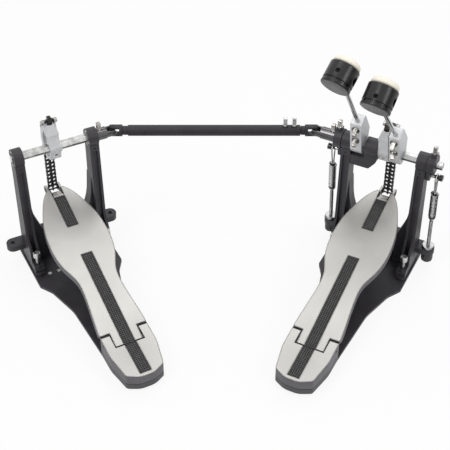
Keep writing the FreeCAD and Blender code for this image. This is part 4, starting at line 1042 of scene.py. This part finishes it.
for hand, flip in (("right", unturned), ("left", mirrored)):
    stand = main_place @ flip @ at(lug_x, lug_y, lug_top) @ Matrix.Rotation(spring_tilt, 4, "X")
    bm = bmesh.new()
    wire_end = ring_of(bm, spring_wire, wire_sides, at(spring_radius, 0, spring_low) @ to_front)
    for vert in bm.verts:
        vert.co.x = min(max(vert.co.x, spring_radius - wire_flat), spring_radius + wire_flat)
    swept_wire(bm, wire_end, cent=(0, 0, 0), axis=(0, 0, 1), angle=2 * math.pi * spring_turns,
               dvec=(0, 0, spring_pitch / turn_steps), steps=turn_steps * spring_turns)
    loop_end = ring_of(bm, hook_wire, hook_sides, at(spring_radius, 0, spring_high))
    swept_wire(bm, loop_end, cent=(0, 0, spring_high), axis=(0, -1, 0), angle=math.pi, steps=loop_steps)
    coil = piece(hand + "_coil", bm, stand, None, spring_chrome, "chrome", hand + "_spring", sharp=60)
    stand @ Vector((0, 0, spring_low))
    stand @ Vector((0, 0, spring_high))
    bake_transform(coil)
    bm = bmesh.new()
    ends = []
    for height, radius, start, sweep in hook_bends:
        turn = at(0, 0, height) @ Matrix.Rotation(start, 4, "X")
        section = ring_of(bm, hook_wire, hook_sides, turn @ at(0, radius, 0))
        last = swept(bm, section, cent=(0, 0, height), axis=(1, 0, 0), angle=sweep, steps=hook_steps)
        ends.append([only(bmesh.types.BMEdge, loop) for loop in (section, last)])
    bmesh.ops.bridge_loops(bm, edges=ends[0][1] + ends[1][0])
    bmesh.ops.bridge_loops(bm, edges=ends[1][1] + ends[0][0])
    piece(hand + "_hook", bm, stand, hand + "_spring_link", chrome, "chrome", hand + "_spring_link",
          sharp=60)
    bm = bmesh.new()
    screw_thread(bm, adjuster_radius, lock_nut_height + lock_nut_gap, thread_to)
    piece(hand + "_adjuster_thread", bm, stand, "main_frame", satin_steel, "chrome", sharp=75)


# Drive shaft: a black tube over a black rod, locked by two bright screws, with a forked joint
# and cross at each end. The couplings on the axles are plated in dark nickel.
tube_black = painted("tube_black", (0.030, 0.027, 0.032), 0.5, 0.3, 3.0, 0.0005)
wear(tube_black, "drive_tube", "drive_rod")
wear(black_steel, "main_cross", "second_cross")
wear(zinc, "tube_lock_screws")
dark_nickel = bright_metal("dark_nickel", (0.12, 0.117, 0.12), 0.15, 0.2)
wear(dark_nickel, "main_coupling", "second_coupling")


# Spurs: pointed and threaded steel bolts through the feet of the posts, with plain round heads.
# They are screwed down into the floor to hold the pedals.
# The spurs' shanks darken in rings below the head: painted shade for the thread's grooves.
spur_ring_pitch = 0.0011
spur_head_from = 0.0308
spur_zinc = bright_metal("spur_zinc", zinc_colour, 0.3, 0.25, 160.0,
                         ring_pitch=spur_ring_pitch, rings_below=spur_head_from)
wear(spur_zinc, "main_spurs", "second_spurs")


# Hoop clamp: a charcoal jaw on a pin at the drum's end of the main base plate, pressed down on
# the drum's hoop by a bright wing screw.
wear(charcoal, "hoop_jaw")
wear(zinc, "hoop_pin")
wear(chrome, "hoop_screw")
